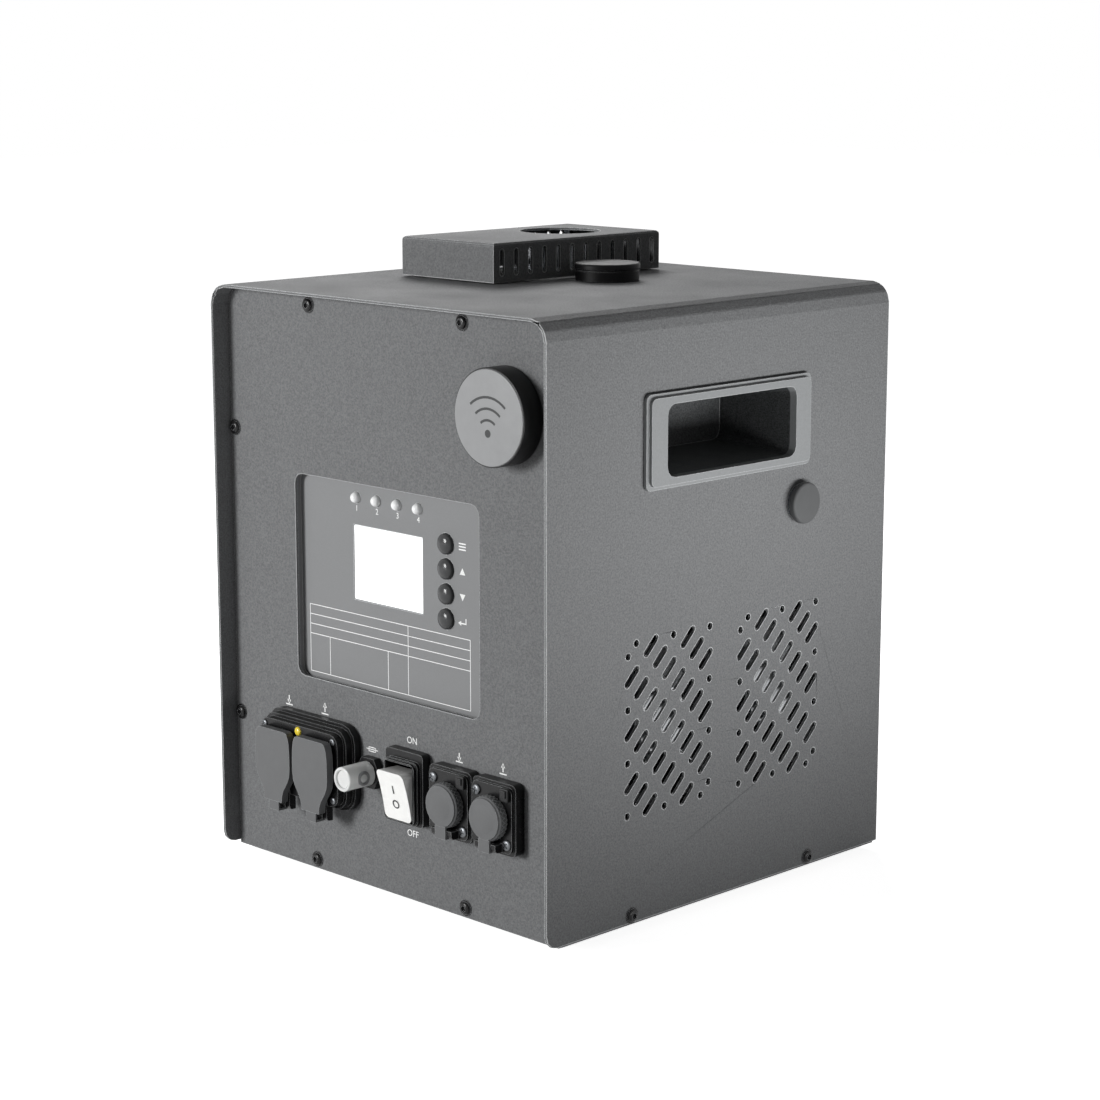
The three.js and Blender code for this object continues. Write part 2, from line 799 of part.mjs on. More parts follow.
function makeFanRotor() {
  const tip = fanBore - fanTipGap;
  const start = fanHubPlate + seatGap;
  const hub = turned([[0, start], [fanHubRadius, start], [fanHubRadius, start + fanRotorDepth - fanHubEdge],
    [fanHubRadius - fanHubEdge, start + fanRotorDepth], [0, start + fanRotorDepth]], smallSegments);
  const chord = fanRotorDepth / Math.cos(fanBladePitch) - 2 * fanTipGap;
  const blades = range(fanBladeCount).map((i) => block(tip, fanBladeThickness, chord)
    .translate(tip / 2, 0, 0)
    .rotateX(fanBladePitch)
    .translate(0, 0, start + fanRotorDepth / 2)
    .rotateZ(i * 2 * Math.PI / fanBladeCount));
  const limit = rod(tip, start + fanTipGap / 2, start + fanRotorDepth - fanTipGap / 2, roundSegments);
  return join(hub, ...blades.map((blade) => common(blade, limit)));
}

ventPlaces.forEach((y, i) => {
  const group = new THREE.Group();
  group.position.set(innerHalfWidth - fanDepth, y, ventZ);
  group.rotation.y = quarter;
  model.add(group);
  addPiece(`fan_frame_${i + 1}`, makeFanFrame(), blackPlastic, 0, 0, 0, group);
  addPiece(`fan_rotor_${i + 1}`, makeFanRotor(), steel, 0, 0, 0, group);
});

// Outlet cover: a folded box, open below, with slots in both long sides and a round opening
function foldedBox(width, depth, bottom, top, radius) {
  const across = archedRectangle(width, bottom, top, radius);
  const along = archedRectangle(depth, bottom, top, radius);
  return common(pushedBack(across, -depth / 2, depth), pushedRight(along, -width / 2, width));
}

function makeOutletCover() {
  const box = cut(
    foldedBox(coverWidth, coverDepth, coverBottom, coverTop, coverBend),
    foldedBox(coverWidth - 2 * coverSheet, coverDepth - 2 * coverSheet, coverBottom - cutOverrun,
      coverUnderside, coverBend - coverSheet));
  const slots = range(coverSlotCount).map((i) => {
    const y = (i - (coverSlotCount - 1) / 2) * coverSlotPitch;
    const outline = slot(coverSlotHeight, coverSlotWidth, ventEndSegments)
      .map((point) => new THREE.Vector2(y - point.y, (coverBottom + coverTop) / 2 + point.x));
    return pushedRight(outline, -coverWidth / 2 - cutOverrun, coverWidth + 2 * cutOverrun);
  });
  const hole = rod(coverHoleRadius, coverUnderside - cutOverrun, coverTop + cutOverrun, roundSegments);
  return cut(box, together(slots), hole.translate(0, outletY - coverY, 0));
}

const coverPostPlaces = [
  [coverPostInset - coverWidth / 2, coverPostInset - coverDepth / 2],
  [coverPostInset - coverWidth / 2, coverDepth / 2 - coverPostInset],
  [coverWidth / 2 - coverPostInset, coverMiddlePostShare * coverDepth],
].map(([x, y]) => [coverX + x, coverY + y]);

addPiece('outlet_cover', makeOutletCover(), powderCoat, coverX, coverY);
coverPostPlaces.forEach(([x, y], i) => addPiece(`cover_post_${i + 1}`,
  rod(coverPostRadius, caseTop + seatGap, coverUnderside - seatGap, plainSegments), steel, x, y));

// Outlet tube: passes the top of the case and is carried there by its flange
function makeOutletTube() {
  const bore = outletRadius - outletWall;
  const bottom = chamberTop + seatGap;
  const seat = caseTop + seatGap;
  const top = coverTop - outletBelowCover;
  return turned([[bore, bottom], [outletRadius, bottom], [outletRadius, seat], [outletFlangeRadius, seat],
    [outletFlangeRadius, seat + outletFlange], [outletRadius, seat + outletFlange], [outletRadius, top],
    [bore, top], [bore, bottom]], roundSegments);
}

// Auger line: from the chamber's wall out under the hopper
const augerZ = caseTop - augerDrop;
const augerReach = Math.hypot(fillerX - coverX, fillerY - outletY);
const augerAngle = Math.atan2(fillerY - outletY, fillerX - coverX);

// Chamber: a tube standing on the blower's outlet, with a port for the auger
function makeChamber() {
  const inner = chamberRadius - chamberWall;
  const bottom = blowerTop + seatGap;
  const body = turned([[chamberMouth, bottom], [chamberFlangeRadius, bottom],
    [chamberFlangeRadius, bottom + chamberFloor], [chamberRadius, bottom + chamberFloor],
    [chamberRadius, chamberTop], [outletRadius - outletWall, chamberTop],
    [outletRadius - outletWall, chamberTop - chamberFloor], [inner, chamberTop - 2 * chamberFloor],
    [inner, bottom + 2 * chamberFloor], [chamberMouth, bottom + chamberFloor], [chamberMouth, bottom]],
  roundSegments);
  const port = facingRight(rod(augerTubeRadius - augerTubeWall, 0, chamberRadius + cutOverrun))
    .rotateZ(augerAngle).translate(0, 0, augerZ);
  return cut(body, port);
}

const coilRadius = chamberRadius + coilWire + seatGap;
const coilBottom = blowerTop + chamberFloor + coilLift;

// Heater coil: one unbroken wire wound round the chamber
function makeCoil() {
  const steps = coilTurns * coilStepsPerTurn;
  const rings = range(steps + 1).map((i) => {
    const angle = 2 * Math.PI * i / coilStepsPerTurn;
    const height = coilBottom + coilHeight * i / steps;
    const out = new THREE.Vector3(Math.cos(angle), Math.sin(angle), 0);
    return range(coilSides).map((k) => {
      const around = 2 * Math.PI * k / coilSides;
      const point = out.clone().multiplyScalar(coilRadius / Math.cos(Math.PI / coilStepsPerTurn)
        + coilWire * Math.cos(around));
      point.z = height + coilWire * Math.sin(around);
      return point;
    });
  });
  return tubeThrough(rings);
}

// A tube through rings of points, closed by a fan at each end
function tubeThrough(rings) {
  const count = rings[0].length;
  const last = (rings.length - 1) * count;
  const index = [
    ...range(count - 2).flatMap((i) => [0, i + 2, i + 1]),
    ...range(count - 2).flatMap((i) => [last, last + i + 1, last + i + 2]),
    ...range(rings.length - 1).flatMap((row) => range(count).flatMap((i) => {
      const a = row * count + i;
      const b = row * count + (i + 1) % count;
      return [a, b, b + count, a, b + count, a + count];
    })),
  ];
  const geometry = new THREE.BufferGeometry().setFromPoints(rings.flat());
  geometry.setIndex(index);
  return geometry;
}

const coilOuter = coilRadius / Math.cos(Math.PI / coilStepsPerTurn) + coilWire;
const jacketInner = coilOuter + seatGap;

function makeJacket() {
  const bottom = blowerTop + seatGap + chamberFloor + seatGap;
  const top = coilBottom + coilHeight + coilWire + jacketMargin;
  return pipe(jacketInner + jacketWall, jacketInner, bottom, top, roundSegments);
}

addPiece('outlet_tube', makeOutletTube(), steel, coverX, outletY);
addPiece('heating_chamber', makeChamber(), steel, coverX, outletY);
addPiece('heater_coil', makeCoil(), redCopper, coverX, outletY);
addPiece('insulation_jacket', makeJacket(), ceramicWool, coverX, outletY);

// Filler cap, neck and hopper
function makeFillerCap() {
  const bottom = caseTop + seatGap;
  const skirt = capRadius - capSkirtInset;
  const groove = capRadius - capGrooveInset;
  const skirtTop = bottom + capSkirtHeight;
  const lidBottom = skirtTop + capGrooveHeight;
  const top = lidBottom + capLidHeight;
  const bore = neckFlangeRadius + seatGap;
  return turned([[bore, bottom], [skirt, bottom], [skirt, skirtTop], [groove, skirtTop], [groove, lidBottom],
    [capRadius, lidBottom], [capRadius, top - capChamfer], [capRadius - capChamfer, top], [0, top],
    [0, top - capWall], [bore, top - capWall], [bore, bottom]], roundSegments);
}

function makeFillerNeck() {
  const bore = neckRadius - neckWall;
  const seat = caseTop + seatGap;
  return turned([[bore, caseTop - hopperDrop], [neckRadius, caseTop - hopperDrop], [neckRadius, seat],
    [neckFlangeRadius, seat], [neckFlangeRadius, seat + neckFlange], [neckRadius, seat + neckFlange],
    [neckRadius, caseTop + neckRise], [bore, caseTop + neckRise], [bore, caseTop - hopperDrop]], roundSegments);
}

function makeHopper() {
  const top = caseTop - hopperDrop - seatGap;
  const shoulder = top - hopperStraight;
  const spoutBottom = augerZ + augerTubeRadius + seatGap;
  const throat = spoutBottom + hopperSpout;
  const inside = hopperRadius - hopperWall;
  const bore = neckRadius - neckWall;
  return turned([[hopperThroat, spoutBottom], [hopperThroat + hopperWall, spoutBottom],
    [hopperThroat + hopperWall, throat], [hopperRadius, shoulder], [hopperRadius, top], [bore, top],
    [bore, top - hopperWall], [inside, top - hopperWall], [inside, shoulder], [hopperThroat, throat],
    [hopperThroat, spoutBottom]], roundSegments);
}

addPiece('filler_cap', makeFillerCap(), blackPlastic, fillerX, fillerY);
addPiece('filler_neck', makeFillerNeck(), steel, fillerX, fillerY);
addPiece('hopper', makeHopper(), galvanised, fillerX, fillerY);

// Auger: a helical flight on a shaft, turned by a geared motor
const augerStart = chamberRadius + seatGap;
const augerEnd = augerReach + augerPastHopper;

function makeAugerTube() {
  const tube = pipe(augerTubeRadius, augerTubeRadius - augerTubeWall, augerStart, augerEnd, smallSegments);
  return cut(facingRight(tube), rod(hopperThroat, 0, augerTubeRadius + cutOverrun).translate(augerReach, 0, 0));
}

function makeAuger() {
  const length = augerEnd - augerStart - augerPitch;
  const steps = Math.round(length / augerPitch * augerStepsPerTurn);
  const rings = range(steps + 1).map((i) => {
    const angle = 2 * Math.PI * i / augerStepsPerTurn;
    const along = augerStart + augerPitch / 2 + length * i / steps;
    const out = new THREE.Vector3(Math.cos(angle), Math.sin(angle), 0);
    const inner = out.clone().multiplyScalar(augerShaftRadius / 2);
    const outer = out.clone().multiplyScalar(augerRadius);
    return [[inner, -1], [outer, -1], [outer, 1], [inner, 1]].map(([point, side]) => {
      const place = point.clone();
      place.z = along + side * augerFlight / 2;
      return place;
    });
  });
  return facingRight(join(rod(augerShaftRadius, augerStart, augerEnd), tubeThrough(rings)));
}

function makeFeedMotor() {
  const start = augerEnd + seatGap;
  const gearbox = raised(roundedRectangle(gearboxSize, gearboxSize, gearboxCorner), start, gearboxLength);
  const body = rod(motorRadius, start, start + gearboxLength + motorLength, roundSegments);
  return facingRight(join(gearbox, body));
}

const augerGroup = new THREE.Group();
augerGroup.position.set(coverX, outletY, augerZ);
augerGroup.rotation.z = augerAngle;
model.add(augerGroup);
addPiece('auger_tube', makeAugerTube(), steel, 0, 0, 0, augerGroup);
addPiece('auger', makeAuger(), steel, 0, 0, 0, augerGroup);
addPiece('feed_motor', makeFeedMotor(), galvanised, 0, 0, 0, augerGroup);

// Blower: a scroll that grows towards its upward outlet, under the chamber
const blowerX = blowerRadius + blowerGrowth - blowerOutlet / 2;
const blowerAxisZ = floorTop + blowerFootRise + blowerRadius + blowerGrowth;

function scrollOutline(inset) {
  const turnSteps = 3 * smallSegments / 4;
  const wall = range(turnSteps + 1).map((i) => {
    const share = i / turnSteps;
    const angle = -3 * quarter * share;
    const radius = blowerRadius + blowerGrowth * (1 - share) - inset;
    return new THREE.Vector2(radius * Math.cos(angle), radius * Math.sin(angle));
  }).reverse();
  const right = blowerRadius + blowerGrowth - inset;
  const left = blowerRadius + blowerGrowth - blowerOutlet + inset;
  const top = blowerRise - blowerFootRise - blowerRadius - blowerGrowth + (inset > 0 ? cutOverrun : 0);
  return [...wall, new THREE.Vector2(right, top), new THREE.Vector2(left, top),
    new THREE.Vector2(left, blowerRadius - inset)];
}

function makeBlowerHousing() {
  const outer = pushedBack(scrollOutline(0), -blowerDepth / 2, blowerDepth);
  const inner = pushedBack(scrollOutline(blowerWall), blowerWall - blowerDepth / 2, blowerDepth - 2 * blowerWall);
  const inlet = pushedBack(circle(blowerInlet), blowerDepth / 2 - blowerWall - cutOverrun, 2 * cutOverrun);
  const motor = pushedBack(circle(blowerMotorRadius, smallSegments), -blowerDepth / 2 - blowerMotorLength,
    blowerMotorLength + blowerWall / 2);
  const standHeight = blowerRadius + blowerGrowth + blowerFootRise - seatGap;
  const stand = block(2 * blowerRadius, blowerDepth, standHeight).translate(0, 0, -standHeight / 2);
  const standCut = pushedBack(circle(blowerRadius + blowerGrowth / 2, roundSegments), -blowerDepth, 2 * blowerDepth);
  return cut(join(outer, motor, cut(stand, standCut)), inner, inlet);
}

function makeImpeller() {
  const start = blowerWall + seatGap;
  const height = blowerDepth - 2 * start;
  const plate = rod(impellerRadius, start, start + impellerPlate);
  const hub = rod(impellerHubRadius, start, start + height / 2);
  const bladeMiddle = impellerRadius - impellerBladeWidth / 2 - impellerBladeThickness;
  const blades = range(impellerBlades).map((i) => block(impellerBladeWidth, impellerBladeThickness, height)
    .rotateZ(impellerBladeTilt)
    .translate(bladeMiddle, 0, start + height / 2)
    .rotateZ(i * 2 * Math.PI / impellerBlades));
  const rim = pipe(impellerRadius, impellerRadius - impellerBladeWidth, start + height - impellerPlate, start + height);
  return join(plate, hub, rim, ...blades).rotateX(-quarter).translate(0, -blowerDepth / 2, 0);
}

const blowerPlace = [coverX - blowerX, outletY, blowerAxisZ];
addPiece('blower_housing', makeBlowerHousing(), blackPlastic, ...blowerPlace);
addPiece('blower_impeller', makeImpeller(), galvanised, ...blowerPlace);

// Power supply in a slotted case, with the control board standing on it
function makePowerSupply() {
  const body = raised(roundedRectangle(supplyWidth, supplyDepth, supplyCorner), floorTop + seatGap, supplyHeight);
  const slots = range(supplySlotCount).map((i) => {
    const x = (i - (supplySlotCount - 1) / 2) * supplySlotPitch;
    return block(supplySlotWidth, supplyDepth / 2, 2 * supplySlotDepth)
      .translate(x, 0, floorTop + seatGap + supplyHeight);
  });
  return cut(body, together(slots));
}

function makeMainBoard() {
  const base = floorTop + seatGap + supplyHeight + seatGap;
  const width = supplyWidth - 2 * boardMargin;
  const depth = supplyDepth - 2 * boardMargin;
  const board = block(width, depth, boardThickness).translate(0, 0, base + boardLegHeight + boardThickness / 2);
  const onBoard = base + boardLegHeight + boardThickness / 2;
  const legs = [-1, 1].flatMap((a) => [-1, 1].map((b) => rod(boardLegRadius, base, onBoard, plainSegments)
    .translate(a * (width / 2 - boardMargin), b * (depth / 2 - boardMargin), 0)));
  const chip = block(chipSize, chipSize, boardThickness + chipHeight)
    .translate(chipSize, 0, onBoard + (boardThickness + chipHeight) / 2);
  const capacitors = [-1, 1].map((side) => rod(capacitorRadius, onBoard, onBoard + capacitorHeight)
    .translate(-2 * chipSize, side * 2 * capacitorRadius, 0));
  return join(board, ...legs, chip, ...capacitors);
}

addPiece('power_supply', makePowerSupply(), galvanised, supplyX, supplyY);
addPiece('main_board', makeMainBoard(), circuitBoard, supplyX, supplyY);

// Control plate: a shallow tray behind the window, with its display, buttons and lamps
const windowZ = caseBottom + windowRise;
const displayZ = windowZ + displayAboveMiddle;
const lampZ = windowZ + lampAboveMiddle;
const buttonPlaces = range(buttonCount).map((i) => displayZ + ((buttonCount - 1) / 2 - i) * buttonPitch);
const lampPlaces = range(lampCount).map((i) => displayX + (i - (lampCount - 1) / 2) * lampPitch);
const pinPlaces = [-1, 1].flatMap((a) => [-1, 1].map((b) =>
  [displayX + a * (controlBoardWidth / 2 - boardMargin), displayZ + b * (controlBoardHeight / 2 - boardMargin)]));

function makeControlPlate() {
  const rimFront = behindPanel;
  const outer = roundedRectangle(windowWidth + 2 * plateMargin + 2 * plateRim,
    windowHeight + 2 * plateMargin + 2 * plateRim, windowCorner + plateRim, windowX, windowZ);
  const pocket = roundedRectangle(windowWidth + 2 * plateMargin, windowHeight + 2 * plateMargin,
    windowCorner, windowX, windowZ);
  const through = (points) => pushedBack(points, plateFace - cutOverrun, plateThickness + 2 * cutOverrun);
  const pins = pinPlaces.map(([x, z]) => pushedBack(circle(pinRadius, plainSegments, x, z),
    plateFace + plateThickness / 2, controlBoardDepth - plateThickness / 2 - seatGap));
  return cut(
    join(pushedBack(outer, rimFront, plateBack - rimFront), ...pins),
    pushedBack(pocket, rimFront - cutOverrun, plateFace - rimFront + cutOverrun),
    through(roundedRectangle(displayWidth, displayHeight, seatGap, displayX, displayZ)),
    ...buttonPlaces.map((z) => through(circle(buttonRadius + seatGap, smallSegments, buttonX, z))),
    ...lampPlaces.map((x) => through(circle(lampRadius + seatGap, smallSegments, x, lampZ))));
}

function makeDisplay() {
  const glass = pushedBack(roundedRectangle(displayWidth - 2 * seatGap, displayHeight - 2 * seatGap,
    seatGap, displayX, displayZ), plateFace + seatGap, displayThickness + displayBody);
  const body = pushedBack(roundedRectangle(displayWidth + 2 * displayFrame, displayHeight + 2 * displayFrame,
    displayFrame / 2, displayX, displayZ), plateBack + seatGap, displayBody);
  return join(glass, body);
}

function makeControlBoard() {
  const outline = roundedRectangle(controlBoardWidth, controlBoardHeight, displayFrame, displayX, displayZ);
  return pushedBack(outline, controlBoardFront, boardThickness);
}

// A domed key: crown, flange behind the plate and a stem towards the board
function makeButton() {
  const flangeStart = plateThickness + seatGap;
  const stemEnd = controlBoardDepth - buttonTravel - seatGap;
  const crown = range(cornerSegments + 1).map((i) => {
    const angle = quarter * (1 - i / cornerSegments);
    return [buttonRadius * Math.cos(angle), -buttonProud - buttonDome * Math.sin(angle)];
  });
  const profile = [...crown, [buttonRadius, flangeStart], [buttonRadius + buttonFlange, flangeStart],
    [buttonRadius + buttonFlange, flangeStart + buttonFlange], [buttonStemRadius, flangeStart + buttonFlange],
    [buttonStemRadius, stemEnd], [0, stemEnd]];
  return turned(profile).rotateX(-quarter);
}

function makeLamp() {
  const end = controlBoardDepth - seatGap;
  const dome = range(cornerSegments + 1).map((i) => {
    const angle = quarter * (1 - i / cornerSegments);
    return [lampRadius * Math.cos(angle), -lampProud - lampRadius * Math.sin(angle)];
  });
  return turned([...dome, [lampRadius, end], [0, end]]).rotateX(-quarter);
}

addPiece('control_plate', makeControlPlate(), printedPlate);
addPiece('display', makeDisplay(), litScreen);
addPiece('control_board', makeControlBoard(), circuitBoard);
buttonPlaces.forEach((z, i) => addPiece(`button_${i + 1}`, makeButton(), blackPlastic, buttonX, plateFace, z));
lampPlaces.forEach((x, i) => addPiece(`lamp_${i + 1}`, makeLamp(), clearPlastic, x, plateFace, lampZ));

// Reader disc, with a stem through the panel
function makeReader() {
  return facingFront(turned([[0, -sheetThickness - 2 * seatGap], [readerStemRadius, -sheetThickness - 2 * seatGap],
    [readerStemRadius, 0], [readerRadius, 0], [readerRadius, readerThickness - readerEdge],
    [readerRadius - readerEdge, readerThickness], [0, readerThickness]], roundSegments));
}

addPiece('reader_disc', makeReader(), greyPlastic, caseWidth / 2 - readerInset, onPanel, caseTop - readerDrop);

// Mains housing: three stepped tiers, a back behind the panel and two sockets with pins
const mainsZ = caseBottom + mainsRise;
const mainsSockets = [-1, 1].map((side) => side * mainsSocketSpacing / 2);

// Two lugs with a pin across them, rooted behind or above the pin
function hingeLugs(x, y, z, back, up) {
  const reach = strapWidth / 2 + seatGap;
  const outline = [
    new THREE.Vector2(y - hingeLugRadius, z + up),
    ...arc(y, z, hingeLugRadius, 2 * quarter, 3 * quarter, cornerSegments),
    new THREE.Vector2(y + back, z - hingeLugRadius),
    new THREE.Vector2(y + back, z + up),
  ];
  const pin = pushedRight(circle(hingePinRadius, plainSegments, y, z),
    x - reach - hingeLugWidth / 2, 2 * reach + hingeLugWidth);
  const left = pushedRight(outline, x - reach - hingeLugWidth, hingeLugWidth);
  const right = pushedRight(outline, x + reach, hingeLugWidth);
  return [left, right, pin];
}

// A strap from an eye round the pin, forward under it and up to the cover that it carries
function hingeStrap(y, z, front, top) {
  const bottom = z - hingeEyeRadius;
  const outline = [
    new THREE.Vector2(y, bottom),
    new THREE.Vector2(y, bottom + strapThickness),
    new THREE.Vector2(front + strapThickness, bottom + strapThickness),
    new THREE.Vector2(front + strapThickness, top),
    new THREE.Vector2(front, top),
    new THREE.Vector2(front, bottom),
  ];
  const wide = (points, margin = 0) =>
    pushedRight(points, -strapWidth / 2 - margin, strapWidth + 2 * margin);
  const eye = wide(circle(hingeEyeRadius, smallSegments, y, z));
  return cut(join(wide(outline), eye), wide(circle(hingePinRadius + seatGap, smallSegments, y, z), cutOverrun));
}

function makeMainsHousing() {
  const tiers = range(mainsTierCount).map((i) => pushedBack(
    roundedRectangle(mainsWidth - 2 * i * mainsStep, mainsHeight - 2 * i * mainsStep, mainsCorner - i * mainsStep),
    onPanel - (i + 1) * mainsTier, (i + 1) * mainsTier));
  const back = pushedBack(roundedRectangle(mainsWidth - 2 * mainsBackInset, mainsHeight - 2 * mainsBackInset,
    mainsCorner - mainsBackInset - seatGap), onPanel - mainsTier / 2, mainsBackDepth + mainsTier / 2);
  const sockets = mainsSockets.map((x) => pushedBack(circle(mainsSocketRadius, roundSegments, x, -flapDrop),
    mainsFront - cutOverrun, mainsSocketDepth + cutOverrun));
  const pinStart = mainsFront + mainsSocketDepth - mainsPinLength;
  const pins = mainsSockets.flatMap((x) => range(mainsPinCount).map((k) => {
    const angle = quarter + k * 2 * Math.PI / mainsPinCount;
    return pushedBack(circle(mainsPinRadius, plainSegments, x + mainsPinSpacing * Math.cos(angle),
      mainsPinSpacing * Math.sin(angle) - flapDrop), pinStart, mainsPinLength + mainsPinRadius);
  }));
  const lugs = mainsSockets.flatMap((x) =>
    hingeLugs(x, mainsFront + mainsHingeSetback, -mainsHingeDrop, hingeLugRadius, mainsLugRise));
  const pilotRim = circle(pilotRadius + seatGap, smallSegments, pilotX - mainsX, pilotRise - mainsRise);
  const pilotHole = pushedBack(pilotRim, mainsFront - cutOverrun, pilotDepth + cutOverrun);
  return join(cut(join(...tiers, back, ...lugs), ...sockets, pilotHole), ...pins);
}

// Hinged cover: a shield that bulges below its top edge and narrows to a tab
function makeFlap() {
  const halfWidth = flapWidth / 2;
  const halfHeight = flapHeight / 2;
  const halfTop = halfWidth * flapTopShare;
  const halfTab = halfWidth * flapTabShare;
  const shape = new THREE.Shape();
  shape.moveTo(-halfTab, -halfHeight);
  shape.lineTo(halfTab, -halfHeight);
  shape.bezierCurveTo(halfTab, -halfHeight / 2, halfWidth, -halfHeight / 2, halfWidth, 0);
  shape.bezierCurveTo(halfWidth, halfHeight / 2, halfWidth, halfHeight, halfTop, halfHeight);
  shape.lineTo(-halfTop, halfHeight);
  shape.bezierCurveTo(-halfWidth, halfHeight, -halfWidth, halfHeight / 2, -halfWidth, 0);
  shape.bezierCurveTo(-halfWidth, -halfHeight / 2, -halfTab, -halfHeight / 2, -halfTab, -halfHeight);
  const outline = shape.getPoints(2 * cornerSegments).slice(0, -1);
  const face = pushedBack(outline, -flapThickness, flapThickness);
  const ring = cut(pushedBack(circle(flapPlugRadius), -flapThickness / 2, flapThickness / 2 + flapPlugDepth),
    pushedBack(circle(flapPlugRadius - flapPlugWall), 0, flapPlugDepth + cutOverrun));
  const strap = hingeStrap(flapGap + mainsHingeSetback, flapDrop - mainsHingeDrop,
    -flapThickness + strapThickness / 2, hingeLugRadius - halfHeight);
  return join(face, ring, strap);
}

addPiece('mains_housing', makeMainsHousing(), blackPlastic, mainsX, 0, mainsZ);
['mains_flap_in', 'mains_flap_out'].forEach((name, i) => addPiece(name, makeFlap(), greyPlastic,
  mainsX + mainsSockets[i], mainsFront - flapGap, mainsZ - flapDrop));

function makePilotLamp() {
  const back = seatGap - pilotDepth;
  const halfway = quarter / 2;
  return facingFront(turned([[0, back], [pilotRadius, back], [pilotRadius, 0],
    [pilotRadius * Math.cos(halfway), pilotProud * Math.sin(halfway)], [0, pilotProud]]));
}

addPiece('mains_pilot_lamp', makePilotLamp(), yellowLens, pilotX, mainsFront, caseBottom + pilotRise);

// Fuse holder: body with a nut, a bayonet cap and the cartridge between them
const fuseZ = caseBottom + fuseRise;

function makeFuseHolder() {
  const bore = fuseBodyRadius - fuseBodyWall;
  const nut = raised(circle(fuseNutRadius, plainSegments), 0, fuseNut);
  const body = rod(fuseBodyRadius, -fuseBodyDepth, fuseNut / 2);
  return facingFront(cut(join(nut, body), rod(bore, fuseBodyWall - fuseBodyDepth, fuseNut + cutOverrun)));
}

function makeFuseCap() {
  const start = fuseNut + seatGap;
  const end = start + fuseCapLength;
  const shank = fuseBodyRadius - fuseBodyWall - seatGap;
  const hollow = fuseLinkRadius + seatGap;
  return facingFront(turned([[hollow, -fuseNut], [shank, -fuseNut], [shank, start], [fuseCapRadius, start],
    [fuseCapRadius, end - fuseCapTaper], [fuseCapRadius - fuseCapTaper, end], [0, end], [0, fuseNut],
    [hollow, fuseNut], [hollow, -fuseNut]]));
}

addPiece('fuse_holder', makeFuseHolder(), blackPlastic, fuseX, onPanel, fuseZ);
addPiece('fuse_cap', makeFuseCap(), clearPlastic, fuseX, onPanel, fuseZ);
addPiece('fuse_link', facingFront(rod(fuseLinkRadius, fuseNut - seatGap - fuseLinkLength, fuseNut - seatGap)),
  clearPlastic, fuseX, onPanel, fuseZ);

// Rocker switch: a base block, a stepped boot and the rocker in it
const switchZ = caseBottom + switchRise;

function makeSwitchFrame() {
  const centred = (width, height, corner) => roundedRectangle(width, height, corner, 0, -switchBootDrop);
  const base = pushedBack(roundedRectangle(switchWidth, switchHeight, switchCorner), -switchBase, switchBase);
  const step = (inset, depth) => pushedBack(
    centred(switchBootWidth - 2 * inset, switchBootHeight - 2 * inset, switchBootCorner), -switchBase - depth, depth);
  const back = pushedBack(centred(switchBootWidth, switchBootHeight, switchCorner),
    -switchBase / 2, switchBase / 2 + switchBackDepth);
  const swing = rockerFace * Math.sin(rockerThrow) + rockerHeight / 2 * Math.cos(rockerThrow);
  const wellFront = -switchBase - switchBoot - cutOverrun;
  const wellBack = rockerBelly - rockerPivotProud + 2 * seatGap;
  const well = pushedBack(centred(rockerWidth + 2 * seatGap, 2 * (swing + seatGap), seatGap),
    wellFront, wellBack - wellFront);
  return cut(join(base, step(0, switchBoot / 2), step(switchWall / 2, switchBoot), back), well);
}

// The rocker about its own pivot: a dished face, and a round belly behind
function makeRocker() {
  const half = rockerHeight / 2;
  const dish = range(cornerSegments + 1).map((i) => {
    const share = i / cornerSegments;
    return new THREE.Vector2(-rockerFace + 4 * rockerSag * share * (1 - share), half - rockerHeight * share);
  });
  const belly = arc(0, 0, rockerBelly, -2 * quarter / 3, 2 * quarter / 3, 2 * cornerSegments);
  return pushedRight([...dish, ...belly], -rockerWidth / 2, rockerWidth).rotateX(rockerThrow);
}

addPiece('switch_frame', makeSwitchFrame(), blackPlastic, switchX, onPanel, switchZ);
addPiece('rocker', makeRocker(), whitePlastic, switchX, onPanel - rockerPivotProud, switchZ - switchBootDrop);

// Signal sockets and their rubber caps
const signalZ = caseBottom + signalRise;
const signalPlaces = range(signalCount).map((i) => signalX + i * signalPitch);

function makeSignalSocket() {
  const base = pushedBack(roundedRectangle(signalBaseWidth, signalBaseHeight, signalCorner), -signalBase, signalBase);
  const plate = pushedBack(roundedRectangle(signalPlateWidth, signalPlateHeight, signalCorner),
    -signalBase - signalPlate, 2 * signalPlate);
  const barrel = pushedBack(circle(signalBarrelRadius, roundSegments), -signalBase, signalBase + signalBarrelDepth);
  const bore = pushedBack(circle(signalBore, roundSegments), -signalBase - signalPlate - cutOverrun,
    signalBoreDepth + cutOverrun);
  const floor = signalBoreDepth - signalBase - signalPlate;
  const pins = range(signalPinCount).map((k) => {
    const angle = -quarter + k * 2 * Math.PI / signalPinCount;
    return pushedBack(circle(signalPinRadius, plainSegments, signalPinCircle * Math.cos(angle),
      signalPinCircle * Math.sin(angle)), floor - signalPinLength, signalPinLength + signalPinRadius);
  });
  const lugs = hingeLugs(0, -signalBase - signalPlate - signalHingeProud, -signalHingeDrop,
    signalHingeProud + signalLugRoot, hingeLugRadius);
  return join(cut(join(base, plate, barrel, ...lugs), bore), ...pins);
}

